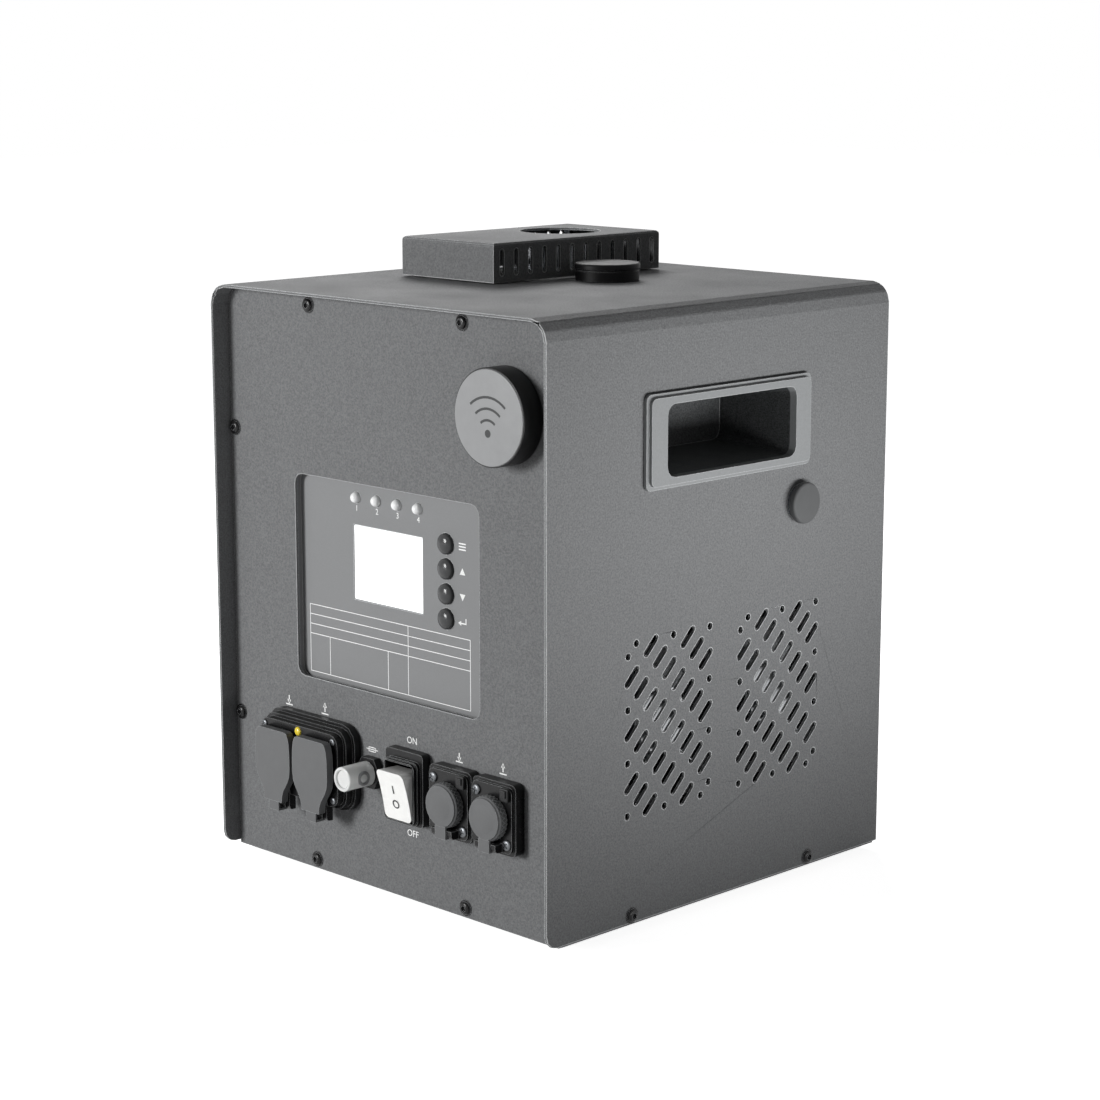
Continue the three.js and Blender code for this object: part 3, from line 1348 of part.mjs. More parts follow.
function makeRubberCap() {
  const end = seatGap + rubberCapDepth;
  const strap = hingeStrap(-signalHingeProud, -signalHingeDrop, -signalStrapFront,
    strapThickness - rubberCapRadius);
  const cap = facingFront(turned([[rubberCapHollow, seatGap], [rubberCapRadius, seatGap],
    [rubberCapRadius, end - rubberCapWall], [rubberCapFace, end - rubberCapCrown / 2], [rubberCapFace / 2, end],
    [0, end + rubberCapCrown / 2], [0, end - rubberCapWall], [rubberCapHollow, end - rubberCapWall],
    [rubberCapHollow, seatGap]], roundSegments));
  return join(cap, strap);
}

signalPlaces.forEach((x, i) => {
  addPiece(`signal_socket_${i + 1}`, makeSignalSocket(), blackPlastic, x, onPanel, signalZ);
  addPiece(`signal_cap_${i + 1}`, makeRubberCap(), greyPlastic, x, signalFront, signalZ);
});

// From the middle of the case to the middle of the whole object: the plug stands out to the
// right, a handle to the left and the fuse cap in front
const rightmost = caseWidth / 2 + seatGap + plugProud;
const leftmost = -caseWidth / 2 - seatGap - handleProud;
const foremost = onPanel - fuseNut - seatGap - fuseCapLength;
const rearmost = caseDepth / 2;
model.position.set(-(leftmost + rightmost) / 2, -(foremost + rearmost) / 2, 0);

export default model;
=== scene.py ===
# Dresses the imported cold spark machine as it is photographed: a finish for every solid, finer
# shapes where the eye rests, and the small fixings and marks that only the looks need.
# Sizes are written in millimetres, from the middle of the case and from the ground. Sizes that
# shaders read are in metres.

import json
import math
from contextlib import contextmanager

import bmesh
import bpy
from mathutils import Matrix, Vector
from mathutils.kdtree import KDTree


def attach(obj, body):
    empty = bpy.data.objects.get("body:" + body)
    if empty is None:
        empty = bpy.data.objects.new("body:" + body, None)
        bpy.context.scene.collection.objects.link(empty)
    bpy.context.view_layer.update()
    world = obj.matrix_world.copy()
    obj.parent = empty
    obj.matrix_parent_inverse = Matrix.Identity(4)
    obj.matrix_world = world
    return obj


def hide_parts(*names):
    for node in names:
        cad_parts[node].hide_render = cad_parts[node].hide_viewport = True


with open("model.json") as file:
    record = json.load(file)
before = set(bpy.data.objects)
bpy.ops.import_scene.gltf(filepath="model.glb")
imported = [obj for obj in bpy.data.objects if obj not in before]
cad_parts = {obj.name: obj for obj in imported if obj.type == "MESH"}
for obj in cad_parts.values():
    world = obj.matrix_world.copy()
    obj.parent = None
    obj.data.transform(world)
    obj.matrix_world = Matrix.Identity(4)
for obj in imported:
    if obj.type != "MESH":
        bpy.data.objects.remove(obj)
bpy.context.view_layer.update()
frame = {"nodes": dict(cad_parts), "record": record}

MM = 0.001
CASE_MIDDLE = Vector((-0.75, 5.55, 0))

# Levels that the pieces stand on
CASE_HALF_WIDTH = 116
PANEL_FACE = -109.5
ON_PANEL = PANEL_FACE - 0.3
PLATE_FACE = -105.0
SIGNAL_FRONT = -116.8
MAINS_FRONT = -121.8
REAR_FACE = 118

# Vents: two fields on each side wall, with slanted slots and dots on one slanted grid.
# A row of slots is its number, and its first and last step. A dot is a row and a step.
VENT_PITCH = 6.28
VENT_ROW_STEPS = 4
VENT_RADIUS = 1.8
VENT_REACH = 4.5
VENT_FIELDS = ((-38.75, 96.7), (38.75, 96.7))
VENT_ROWS = ((2, -6, -4), (1, -6, 0), (0, -4, 4), (-1, 0, 6), (-2, 4, 6))
VENT_DOTS = ((3, -7), (2, -7), (1, -7), (2, -3), (1, 1), (0, 5))
VENT_DOT_SHARE = 0.57

# Outlet cover
OUTLET = (-43, 50)
COVER_DEPTH_MIDDLE = 30
COVER_HOLE_RADIUS = 20.5
COVER_SLOTS = 12
COVER_SLOT_PITCH = 9.69
COVER_SLOT_RADIUS = 1.5
COVER_SLOT_REACH = 5.1
COVER_SLOT_HEIGHT = 299.5

# Screws
PANEL_SCREWS = ((-53.3, 282.2), (53.3, 282.2), (-53.3, 7.9), (53.3, 7.9),
                (-110.6, 217.6), (110.6, 217.6), (-110.6, 72.7), (110.6, 72.7))
SIDE_SCREWS = ((-63.3, 8.25), (63.3, 8.25))
MAINS_SCREWS = ((-77.2, 75.2), (-26.4, 75.0), (-26.4, 45.8))
SIGNAL_SCREW = (9.9, 11.2)
REAR_SCREW_SUNK = 0.9

# Controls
BUTTON_X = 36.9
BUTTON_HEIGHTS = (178.4, 166.6, 154.8, 143.0)
LAMP_PLACES = (-25.55, -11.05, 3.45, 17.95)
LAMP_HEIGHT = 192.3
READER = (82.6, 243.3)
FILLER = (11.5, 28)
PLUG = (52.6, 188)
PILOT = (-52, 75.6)
FUSE = (-10.3, 61.3)
FUSE_WINDOW_OUT = 11.5
SWITCH_X = 17
SIGNALS = (49.5, 78.6)
SIGNAL_HEIGHT = 59
LATCH_ACROSS = 9.4
LATCH_RISE = 12.4
LATCH_DEPTH = 1.9
THUMB_RISE = 13.0

# The rocker's dished face: its length, and how far its rim and its hollow lie from the pivot
ROCKER_PIVOT = (17, -115.8, 58.4)
ROCKER_THROW = math.radians(13.6)
ROCKER_LENGTH = 25.4
ROCKER_RIM = -6.15
ROCKER_HOLLOW = 2.8

# How thick the paint of a printed mark is
PRINT_DEPTH = 0.06

# What turns by more than this many degrees is a corner: on solids, on sheets, on screws
CORNER = 32
SHEET_CORNER = 25
SCREW_CORNER = 35

# Points closer than this are one: in solids and turned pieces, in arcs, in letters
WELD = 0.01
ARC_WELD = 0.005
LETTER_WELD = 0.002

# The flats of a hole: how near the ring their ends lie, how deep inside it their middles, how
# long they are, and the share of the radius within which points belong to something else
RING_SLACK = 0.04
FLAT_HOLLOW = 0.02
FLAT_RUN = 0.2
INNERMOST_SHARE = 0.6

# The colour sockets of a mix node, which share their names with others
MIX_FIRST, MIX_SECOND, MIX_RESULT = 6, 7, 2

QUARTER = math.pi / 2
FACING = {"up": (0, 0, 0), "front": (QUARTER, 0, 0), "back": (-QUARTER, 0, 0),
          "right": (0, QUARTER, 0), "left": (0, -QUARTER, 0)}


def place(x, y, z):
    """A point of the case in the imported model's frame, in metres."""
    return (Vector((x, y, z)) + CASE_MIDDLE) * MM


def linear(hex_colour, share=1.0):
    """A painter's hex colour as the shader reads it, or a darker or lighter share of it."""
    parts = [int(hex_colour[i:i + 2], 16) / 255 for i in (1, 3, 5)]
    parts = [c / 12.92 if c <= 0.04045 else ((c + 0.055) / 1.055) ** 2.4 for c in parts]
    return (*[c * share for c in parts], 1)


# Node work

def add_node(tree, kind, sockets=None, **settings):
    """A new node, with values on its sockets and settings of its own."""
    node = tree.nodes.new("ShaderNode" + kind)
    for name, value in settings.items():
        setattr(node, name, value)
    for name, value in (sockets or {}).items():
        node.inputs[name].default_value = value
    return node


def wire(tree, *runs):
    """Links nodes. Each run is a node and its output, then the next node and its input."""
    for source, output, target, socket in runs:
        tree.links.new(source.outputs[output], target.inputs[socket])


def add_placed(tree, kind, sockets=None, **settings):
    """A new node that reads where on the object a point lies."""
    node = add_node(tree, kind, sockets, **settings)
    wire(tree, (add_node(tree, "TexCoord"), "Object", node, "Vector"))
    return node


def new_effect(name, inputs, outputs):
    """An empty node group with named number inputs and outputs, and its own group ends."""
    tree = bpy.data.node_groups.new(name, "ShaderNodeTree")
    for label, value in inputs.items():
        socket = tree.interface.new_socket(label, in_out="INPUT", socket_type="NodeSocketFloat")
        socket.default_value = value
    for label in outputs:
        tree.interface.new_socket(label, in_out="OUTPUT", socket_type="NodeSocketFloat")
    return tree, tree.nodes.new("NodeGroupInput"), tree.nodes.new("NodeGroupOutput")


def powder_texture_effect():
    """Fine orange peel of sprayed powder: low round bumps, and a speckle of lighter grains."""
    tree, given, out = new_effect("powder_texture", {"Grain Size": 900, "Speckle Size": 1500},
                                  ("Height", "Speckle"))
    bumps = add_placed(tree, "TexNoise", {"Detail": 3, "Roughness": 0.55})
    grains = add_placed(tree, "TexNoise", {"Detail": 2, "Roughness": 0.7})
    spread = add_node(tree, "MapRange", {"From Min": 0.3, "From Max": 0.7})
    wire(tree, (given, "Grain Size", bumps, "Scale"), (given, "Speckle Size", grains, "Scale"),
         (grains, "Fac", spread, "Value"), (bumps, "Fac", out, "Height"),
         (spread, "Result", out, "Speckle"))
    return tree


def edge_catch_effect():
    """A mask of the rounded rim of a sheet or moulding; most finishes paint a highlight there, as
    if the light caught it.
    """
    tree, given, out = new_effect("edge_catch", {"Width": 0.0006, "Reach": 0.12}, ("Mask",))
    rounded = add_node(tree, "Bevel", samples=6)
    flat = add_node(tree, "NewGeometry")
    agreement = add_node(tree, "VectorMath", operation="DOT_PRODUCT")
    departure = add_node(tree, "Math", {0: 1.0}, operation="SUBTRACT")
    share = add_node(tree, "Math", operation="DIVIDE", use_clamp=True)
    wire(tree, (given, "Width", rounded, "Radius"), (rounded, "Normal", agreement, 0),
         (flat, "Normal", agreement, 1), (agreement, "Value", departure, 1),
         (departure, "Value", share, 0), (given, "Reach", share, 1), (share, "Value", out, "Mask"))
    return tree


def settled_dust_effect():
    """Pale dust that lies on what looks up, in soft patches."""
    tree, given, out = new_effect("settled_dust", {"Amount": 0.1, "Patch Size": 14}, ("Mask",))
    surface = add_node(tree, "NewGeometry")
    upright = add_node(tree, "SeparateXYZ")
    level = add_node(tree, "MapRange", {"From Min": 0.35, "From Max": 1.0})
    patches = add_placed(tree, "TexNoise", {"Detail": 6, "Roughness": 0.65})
    covered = add_node(tree, "Math", operation="MULTIPLY")
    amount = add_node(tree, "Math", operation="MULTIPLY", use_clamp=True)
    wire(tree, (given, "Patch Size", patches, "Scale"),
         (surface, "Normal", upright, "Vector"), (upright, "Z", level, "Value"),
         (level, "Result", covered, 0), (patches, "Fac", covered, 1),
         (covered, "Value", amount, 0), (given, "Amount", amount, 1),
         (amount, "Value", out, "Mask"))
    return tree


def uneven_sheen_effect():
    """Slow drifts in how glossy a surface is, between two roughnesses."""
    tree, given, out = new_effect(
        "uneven_sheen", {"Patch Size": 30, "Smoothest": 0.4, "Roughest": 0.6}, ("Roughness",))
    patches = add_placed(tree, "TexNoise", {"Detail": 5, "Roughness": 0.6})
    spread = add_node(tree, "MapRange", {"From Min": 0.3, "From Max": 0.7})
    wire(tree, (given, "Patch Size", patches, "Scale"),
         (patches, "Fac", spread, "Value"), (given, "Smoothest", spread, "To Min"),
         (given, "Roughest", spread, "To Max"), (spread, "Result", out, "Roughness"))
    return tree


def drawn_lines_effect():
    """Long fine lines left along Z by drawing, turning or brushing the metal."""
    tree, given, out = new_effect("drawn_lines", {"Fineness": 600, "Length": 0.02}, ("Height",))
    apart = add_placed(tree, "SeparateXYZ")
    slow = add_node(tree, "Math", operation="MULTIPLY")
    again = add_node(tree, "CombineXYZ")
    lines = add_node(tree, "TexNoise", {"Detail": 4, "Roughness": 0.6})
    wire(tree, (apart, "Z", slow, 0), (given, "Length", slow, 1),
         (apart, "X", again, "X"), (apart, "Y", again, "Y"),
         (slow, "Value", again, "Z"), (again, "Vector", lines, "Vector"),
         (given, "Fineness", lines, "Scale"), (lines, "Fac", out, "Height"))
    return tree


powder_texture = powder_texture_effect()
edge_catch = edge_catch_effect()
settled_dust = settled_dust_effect()
uneven_sheen = uneven_sheen_effect()
drawn_lines = drawn_lines_effect()


def use_effect(tree, effect, **values):
    """Places an effect in a material, with its own values by socket name."""
    node = add_node(tree, "Group", node_tree=effect)
    for name, value in values.items():
        node.inputs[name.replace("_", " ").title()].default_value = value
    return node


def blend_colours(tree, mask, first, second):
    """A colour that goes from first to second where the mask is full. The mask is a node and its
    output. The others are a socket, a hex colour, or a colour as the shader reads it."""
    mix = add_node(tree, "Mix", data_type="RGBA", clamp_factor=True)
    wire(tree, (*mask, mix, "Factor"))
    for socket, colour in ((mix.inputs[MIX_FIRST], first), (mix.inputs[MIX_SECOND], second)):
        if isinstance(colour, bpy.types.NodeSocket):
            tree.links.new(colour, socket)
        else:
            socket.default_value = linear(colour) if isinstance(colour, str) else colour
    return mix.outputs[MIX_RESULT]


def new_finish(**constants):
    """A new material with its Principled shader. Constants are set on the shader's own sockets."""
    material = bpy.data.materials.new("finish")
    material.use_nodes = True
    shader = material.node_tree.nodes["Principled BSDF"]
    for label, value in constants.items():
        shader.inputs[label.replace("_", " ").replace("Ior", "IOR")].default_value = value
    return material, material.node_tree, shader


def cover_with(tree, shader, colour, height, depth, strength=1.0, sheen=None):
    """Gives a shader its colour, a height pattern of the given depth, and an uneven sheen. The
    height is a node and its output."""
    tree.links.new(colour, shader.inputs["Base Color"])
    if sheen:
        wire(tree, (sheen, "Roughness", shader, "Roughness"))
    bump = add_node(tree, "Bump", {"Distance": depth, "Strength": strength})
    wire(tree, (*height, bump, "Height"), (bump, "Normal", shader, "Normal"))


def powder_coat(colour, painted_highlight, speckle, depth, dust, grain=900, edge=0.0005):
    """Sprayed and baked powder: matt, finely pebbled, with a painted highlight where a sheet ends.
    """
    material, tree, shader = new_finish(Specular_IOR_Level=0.08)
    texture = use_effect(tree, powder_texture, grain_size=grain, speckle_size=1.3 * grain)
    rim = use_effect(tree, edge_catch, width=edge, reach=0.14)
    film = use_effect(tree, settled_dust, amount=dust, patch_size=16)
    sheen = use_effect(tree, uneven_sheen, patch_size=24, smoothest=0.6, roughest=0.72)
    dark, bright = linear(colour, 1 - speckle), linear(colour, 1 + speckle)
    speckled = blend_colours(tree, (texture, "Speckle"), dark, bright)
    dusted = blend_colours(tree, (film, "Mask"), speckled, "#b9b8b4")
    # Painted highlight along the rims of the sheet.
    highlighted = blend_colours(tree, (rim, "Mask"), dusted, painted_highlight)
    cover_with(tree, shader, highlighted, (texture, "Height"), depth, sheen=sheen)
    return material


def moulded_plastic(colour, painted_highlight, smoothest=0.3, roughest=0.45, grain=1600,
                    edge=0.0004, shine=0.25):
    """Moulded plastic or rubber with a faint spark grain, and a painted highlight on its rims."""
    material, tree, shader = new_finish(Specular_IOR_Level=shine)
    texture = use_effect(tree, powder_texture, grain_size=grain, speckle_size=0.1 * grain)
    rim = use_effect(tree, edge_catch, width=edge, reach=0.3)
    film = use_effect(tree, settled_dust, amount=0.06, patch_size=40)
    sheen = use_effect(tree, uneven_sheen, patch_size=60, smoothest=smoothest, roughest=roughest)
    mottled = blend_colours(tree, (texture, "Speckle"), linear(colour, 0.94), colour)
    dusted = blend_colours(tree, (film, "Mask"), mottled, "#a9a8a4")
    # Painted highlight along the rims of the moulding.
    highlighted = blend_colours(tree, (rim, "Mask"), dusted, painted_highlight)
    cover_with(tree, shader, highlighted, (texture, "Height"), depth=0.00002, sheen=sheen)
    return material


def bare_metal(colour, tarnish, smoothest, roughest):
    """Drawn, turned or rolled metal with fine lines and slow changes of tone."""
    material, tree, shader = new_finish(Metallic=1.0)
    lines = use_effect(tree, drawn_lines, fineness=600, length=0.02)
    sheen = use_effect(tree, uneven_sheen, patch_size=45, smoothest=smoothest, roughest=roughest)
    tone = blend_colours(tree, (lines, "Height"), tarnish, colour)
    cover_with(tree, shader, tone, (lines, "Height"), depth=0.00002, strength=0.6, sheen=sheen)
    return material


def galvanised_sheet():
    """Zinc with its crystal flakes, each a slightly different grey."""
    material, tree, shader = new_finish(Metallic=0.9)
    flakes = add_placed(tree, "TexVoronoi", {"Scale": 160, "Randomness": 1})
    tone = add_node(tree, "RGBToBW")
    sheen = use_effect(tree, uneven_sheen, patch_size=120, smoothest=0.32, roughest=0.5)
    wire(tree, (flakes, "Color", tone, "Color"))
    colour = blend_colours(tree, (tone, "Val"), "#8d9194", "#b4b7b9")
    cover_with(tree, shader, colour, (flakes, "Distance"), depth=0.00002, strength=0.5,
               sheen=sheen)
    return material


def clear_moulding(colour, rough, thin):
    """Clear polycarbonate: glassy, with faint moulding streaks in its gloss."""
    material, tree, shader = new_finish(Transmission_Weight=thin, Roughness=rough, IOR=1.5)
    texture = use_effect(tree, powder_texture, grain_size=260, speckle_size=90)
    clouded = blend_colours(tree, (texture, "Speckle"), linear(colour, 0.93), colour)
    cover_with(tree, shader, clouded, (texture, "Height"), depth=0.00002, strength=0.4)
    return material


def lit_panel():
    """A blank lit display: white, a little cooler and dimmer towards its edges."""
    material, tree, shader = new_finish(Emission_Strength=0.62, Roughness=0.12)
    rim = use_effect(tree, edge_catch, width=0.0012, reach=0.4)
    texture = use_effect(tree, powder_texture, grain_size=500, speckle_size=3200)
    glow = blend_colours(tree, (texture, "Speckle"), "#f7f9f9", "#ffffff")
    dim = blend_colours(tree, (rim, "Mask"), glow, "#aeb4b6")
    for label in ("Base Color", "Emission Color"):
        tree.links.new(dim, shader.inputs[label])
    return material


def laminate_board():
    """Green solder mask over a glass weave."""
    material, tree, shader = new_finish(Specular_IOR_Level=0.5)
    weave = add_placed(tree, "TexBrick", {"Scale": 420, "Mortar Size": 0.08})
    sheen = use_effect(tree, uneven_sheen, patch_size=90, smoothest=0.3, roughest=0.45)
    colour = blend_colours(tree, (weave, "Fac"), "#1f5a3a", "#2c6e49")
    cover_with(tree, shader, colour, (weave, "Fac"), depth=0.00003, strength=0.4, sheen=sheen)
    return material


def wool_blanket():
    """Pressed ceramic wool: matt, with tangled fibres."""
    material, tree, shader = new_finish(Roughness=0.95)
    fibres = add_placed(tree, "TexNoise",
                        {"Scale": 700, "Detail": 8, "Roughness": 0.8, "Distortion": 2.5})
    colour = blend_colours(tree, (fibres, "Fac"), "#c7c0b0", "#ece7db")
    cover_with(tree, shader, colour, (fibres, "Fac"), depth=0.0003)
    return material


def handle_moulding():
    """One plastic moulding with painted light and shade: a satin grey rim outside the wall,
    painted lighter as if lit, and a dark grained cup inside it, painted darker as if in shade.
    They meet within the thickness of the wall, as far from the middle as said here."""
    meet_from, meet_to = 0.1150, 0.1154
    material, tree, shader = new_finish(Specular_IOR_Level=0.25)
    apart = add_placed(tree, "SeparateXYZ")
    outward = add_node(tree, "Math", operation="ABSOLUTE")
    outside = add_node(tree, "MapRange", {"From Min": meet_from, "From Max": meet_to})
    texture = use_effect(tree, powder_texture, grain_size=1100, speckle_size=1500)
    rim = use_effect(tree, edge_catch, width=0.0006, reach=0.25)
    sheen = use_effect(tree, uneven_sheen, patch_size=60, smoothest=0.42, roughest=0.52)
    wire(tree, (apart, "X", outward, 0), (outward, "Value", outside, "Value"))
    # Painted shade darkens the hollow cup, and the rim outside the wall is painted lighter as if
    # lit.
    shaded_cup = blend_colours(tree, (texture, "Speckle"), "#1f2021", "#4e5051")
    face = blend_colours(tree, (texture, "Speckle"), "#77797a", "#808283")
    tone = blend_colours(tree, (outside, "Result"), shaded_cup, face)
    # Painted highlight along the rims of the handle.
    highlighted = blend_colours(tree, (rim, "Mask"), tone, "#d4d6d7")
    cover_with(tree, shader, highlighted, (texture, "Height"), depth=0.00004, sheen=sheen)
    return material


# The finish of each slot, and then those of single pieces
# The second colour given to each powder coat and plastic is a painted highlight on its rims.
finishes = {
    "powder_coat": powder_coat("#6d6e6f", "#dfe1e2", speckle=0.24, depth=0.0003, dust=0.04,
                               edge=0.0007),
    "printed_plate": powder_coat("#848586", "#d6d8d9", speckle=0.04, depth=0.00002, dust=0.03,
                                 grain=1900),
    "galvanised": galvanised_sheet(),
    "steel": bare_metal("#c9ccd0", "#a7abb0", 0.12, 0.28),
    "aluminium": bare_metal("#d6d8da", "#b4b7ba", 0.2, 0.34),
    "black_plastic": moulded_plastic("#171718", "#6c6d6e"),
    "grey_plastic": moulded_plastic("#5f6061", "#b6b8b9", 0.42, 0.55),
    "white_plastic": moulded_plastic("#f4f4f2", "#fbfbf9", 0.2, 0.3),
    "clear_plastic": clear_moulding("#fafbfa", 0.1, 0.35),
    "yellow_lens": clear_moulding("#f2d838", 0.15, 0.1),
    "lit_screen": lit_panel(),
    "black_rubber": moulded_plastic("#161617", "#4c4d4e", 0.6, 0.75),
    "grey_rubber": moulded_plastic("#626364", "#a4a6a7", 0.5, 0.62),
    "circuit_board": laminate_board(),
    "ceramic_wool": wool_blanket(),
    "coil_wire": bare_metal("#a8745a", "#5c4238", 0.3, 0.5),

    "white_print": moulded_plastic("#e9eae9", "#ffffff", 0.4, 0.55),
    "dark_print": moulded_plastic("#333435", "#4a4b4c", 0.4, 0.55),
    "reader_face": moulded_plastic("#8f9091", "#dcdedf", 0.45, 0.55, grain=1300),
    "cap_gloss": moulded_plastic("#09090a", "#6a6b6c", 0.4, 0.5, shine=0.08),
    "socket_gloss": moulded_plastic("#111112", "#a2a4a5", 0.24, 0.34, edge=0.0005),
    "button_gloss": moulded_plastic("#3c3d3e", "#8d8f90", 0.14, 0.2),
    "dark_steel": bare_metal("#77797c", "#4a4c4e", 0.3, 0.45),
    "screw_black": moulded_plastic("#141415", "#b4b6b8", 0.16, 0.24, edge=0.0003),
    "handle_moulding": handle_moulding(),
    "plug_face": moulded_plastic("#4b4c4d", "#8b8c8d", 0.5, 0.62),
    "lamp_lens": clear_moulding("#fdfefe", 0.06, 0.08),
}
for name, material in finishes.items():
    material.name = name

bodies = frame["record"]["behaviour"]["bodies"]
node_body = {node: body for body, members in bodies.items() for node in members}
for subpart in frame["record"]["subparts"]:
    solid = frame["nodes"][subpart["node"]]
    solid.data.materials.clear()
    solid.data.materials.append(finishes[subpart["material_slot"]])


# Modelling by hand

def take_up(piece):
    """Selects one piece and makes it the one that operators work on."""
    bpy.ops.object.select_all(action="DESELECT")
    piece.select_set(True)
    bpy.context.view_layer.objects.active = piece


@contextmanager
def editing(piece):
    """Takes a piece up in edit mode, and leaves that mode in the end."""
    take_up(piece)
    bpy.ops.object.mode_set(mode="EDIT")
    yield
    bpy.ops.object.mode_set(mode="OBJECT")


def set_down(piece, at=(0, 0, 0), turn=(0, 0, 0)):
    """Turns and moves a piece to its place, and leaves that place in its mesh."""
    take_up(piece)
    piece.rotation_euler = turn
    piece.location = at
    bpy.ops.object.transform_apply(location=True, rotation=True, scale=True)


def select_edges(piece, wanted):
    """In edit mode, selects exactly the edges that wanted() names."""
    bpy.ops.mesh.select_all(action="DESELECT")
    bpy.ops.mesh.select_mode(type="EDGE")
    work = bmesh.from_edit_mesh(piece.data)
    for edge in work.edges:
        if wanted(edge):
            edge.select_set(True)
    work.select_flush_mode()
    bmesh.update_edit_mesh(piece.data)


def bevel_where(piece, wanted, width, segments=2):
    """Rounds exactly the edges that wanted() names."""
    with editing(piece):
        select_edges(piece, wanted)
        bpy.ops.mesh.bevel(offset=width * MM, segments=segments, affect="EDGES")


def smooth(piece, angle):
    """Smooths what turns by less than the angle, and lets the large flat faces rule their rims."""
    take_up(piece)
    bpy.ops.object.shade_smooth_by_angle(angle=math.radians(angle))
    flats = piece.modifiers.new("flats", "WEIGHTED_NORMAL")
    flats.keep_sharp = True
    flats.weight = 100
    bpy.ops.object.modifier_apply(modifier=flats.name)


def soften(piece, width, segments, angle=CORNER):
    """Rounds the corners of a piece as a real edge is."""
    take_up(piece)
    edge = piece.modifiers.new("edge", "BEVEL")
    edge.width = width * MM
    edge.segments = segments
    edge.limit_method = "ANGLE"
    edge.angle_limit = math.radians(angle)
    edge.miter_outer = "MITER_ARC"
    bpy.ops.object.modifier_apply(modifier=edge.name)
    smooth(piece, angle)


def soften_long_edges(piece, width):
    """Rounds only the long straight rims of a pierced sheet, and leaves its holes crisp."""
    shortest, sharp = 16 * MM, math.radians(60)
    bevel_where(piece, lambda edge: edge.is_manifold and edge.calc_length() > shortest
                and edge.calc_face_angle() > sharp, width)
    smooth(piece, SHEET_CORNER)


def weld(reach):
    """In edit mode, makes one of points that lie closer together than the reach."""
    bpy.ops.mesh.select_all(action="SELECT")
    bpy.ops.mesh.remove_doubles(threshold=reach * MM)


def face_outward():
    """In edit mode, turns all faces outward."""
    bpy.ops.mesh.select_all(action="SELECT")
    bpy.ops.mesh.normals_make_consistent(inside=False)


def draw_up(thickness):
    """In edit mode, draws a flat outline up into a slab."""
    bpy.ops.mesh.select_all(action="SELECT")
    bpy.ops.mesh.extrude_region_move(TRANSFORM_OT_translate={"value": (0, 0, thickness * MM)})
    face_outward()


def add_shape(add, **settings):
    """A new piece of one of Blender's own shapes."""
    bpy.ops.object.select_all(action="DESELECT")
    add(**settings)
    return bpy.context.object


def start_point():
    """A new piece of one point, left in edit mode to be drawn out."""
    piece = add_shape(bpy.ops.mesh.primitive_plane_add, size=MM)
    bpy.ops.object.mode_set(mode="EDIT")
    bpy.ops.mesh.select_mode(type="VERT")
    bpy.ops.mesh.select_all(action="SELECT")
    bpy.ops.mesh.merge(type="CENTER")
    return piece


def spin_round(steps, angle):
    """In edit mode, spins everything about the upright axis."""
    bpy.ops.mesh.select_all(action="SELECT")
    bpy.ops.mesh.spin(steps=steps, angle=angle, center=(0, 0, 0), axis=(0, 0, 1))


def hand_over(piece, name, body, slot, *stands_for, finish=None):
    """Names a piece, gives it its finish and its body, and hides the solids it stands for."""
    piece.name = name
    piece.data.name = name
    piece.data.materials.clear()
    piece.data.materials.append(finishes[finish or slot])
    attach(piece, body)
    if stands_for:
        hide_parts(*stands_for)


def add_object(name, data):
    """A new object of the scene."""
    piece = bpy.data.objects.new(name, data)
    bpy.context.scene.collection.objects.link(piece)
    return piece


def copy_of(piece, name):
    """A copy of a piece with a mesh of its own."""
    return add_object(name, piece.data.copy())


def stand_in(piece, node, slot, finish=None):
    """Hands a piece over as the fine form of a solid."""
    hand_over(piece, node + "_fine", node_body[node], slot, node, finish=finish)


def fine_copy(node, whole_faces=True):
    """A copy of a solid with its triangles joined, into whole faces unless it has many holes."""
    piece = add_object(node + "_fine", frame["nodes"][node].data.copy())
    take_up(piece)
    bpy.ops.mesh.customdata_custom_splitnormals_clear()
    with editing(piece):
        weld(WELD)
        if whole_faces:
            bpy.ops.mesh.dissolve_limited(angle_limit=math.radians(0.5))
    return piece


def dress(node, slot, width, segments=2, angle=CORNER, finish=None):
    """Stands a fine copy with softened corners in for a solid."""
    piece = fine_copy(node)
    soften(piece, width, segments, angle)
    stand_in(piece, node, slot, finish)


def turn_on_lathe(outline, middle, facing, steps):
    """Spins an outline of (radius, height) corners, base first, about the axis through middle."""
    piece = start_point()
    radius, height = outline[0]
    bpy.ops.transform.translate(value=(radius * MM, 0, height * MM))
    for (radius, height), (next_radius, next_height) in zip(outline, outline[1:]):
        step = ((next_radius - radius) * MM, 0, (next_height - height) * MM)
        bpy.ops.mesh.extrude_region_move(TRANSFORM_OT_translate={"value": step})
    spin_round(steps, 2 * math.pi)
    weld(WELD)
    bpy.ops.mesh.delete_loose()
    face_outward()
    bpy.ops.object.mode_set(mode="OBJECT")
    set_down(piece, place(*middle), FACING[facing])
    bpy.ops.object.shade_smooth_by_angle(angle=math.radians(CORNER))
    return piece


def quarter_round(radius, start_height, rise, steps, inner=0.0):
    """Outline corners of a dome or a rounded rim, from its widest ring up to its top."""
    turns = [QUARTER * i / steps for i in range(1, steps + 1)]
    return [(inner + (radius - inner) * math.cos(turn), start_height + rise * math.sin(turn))
            for turn in turns]


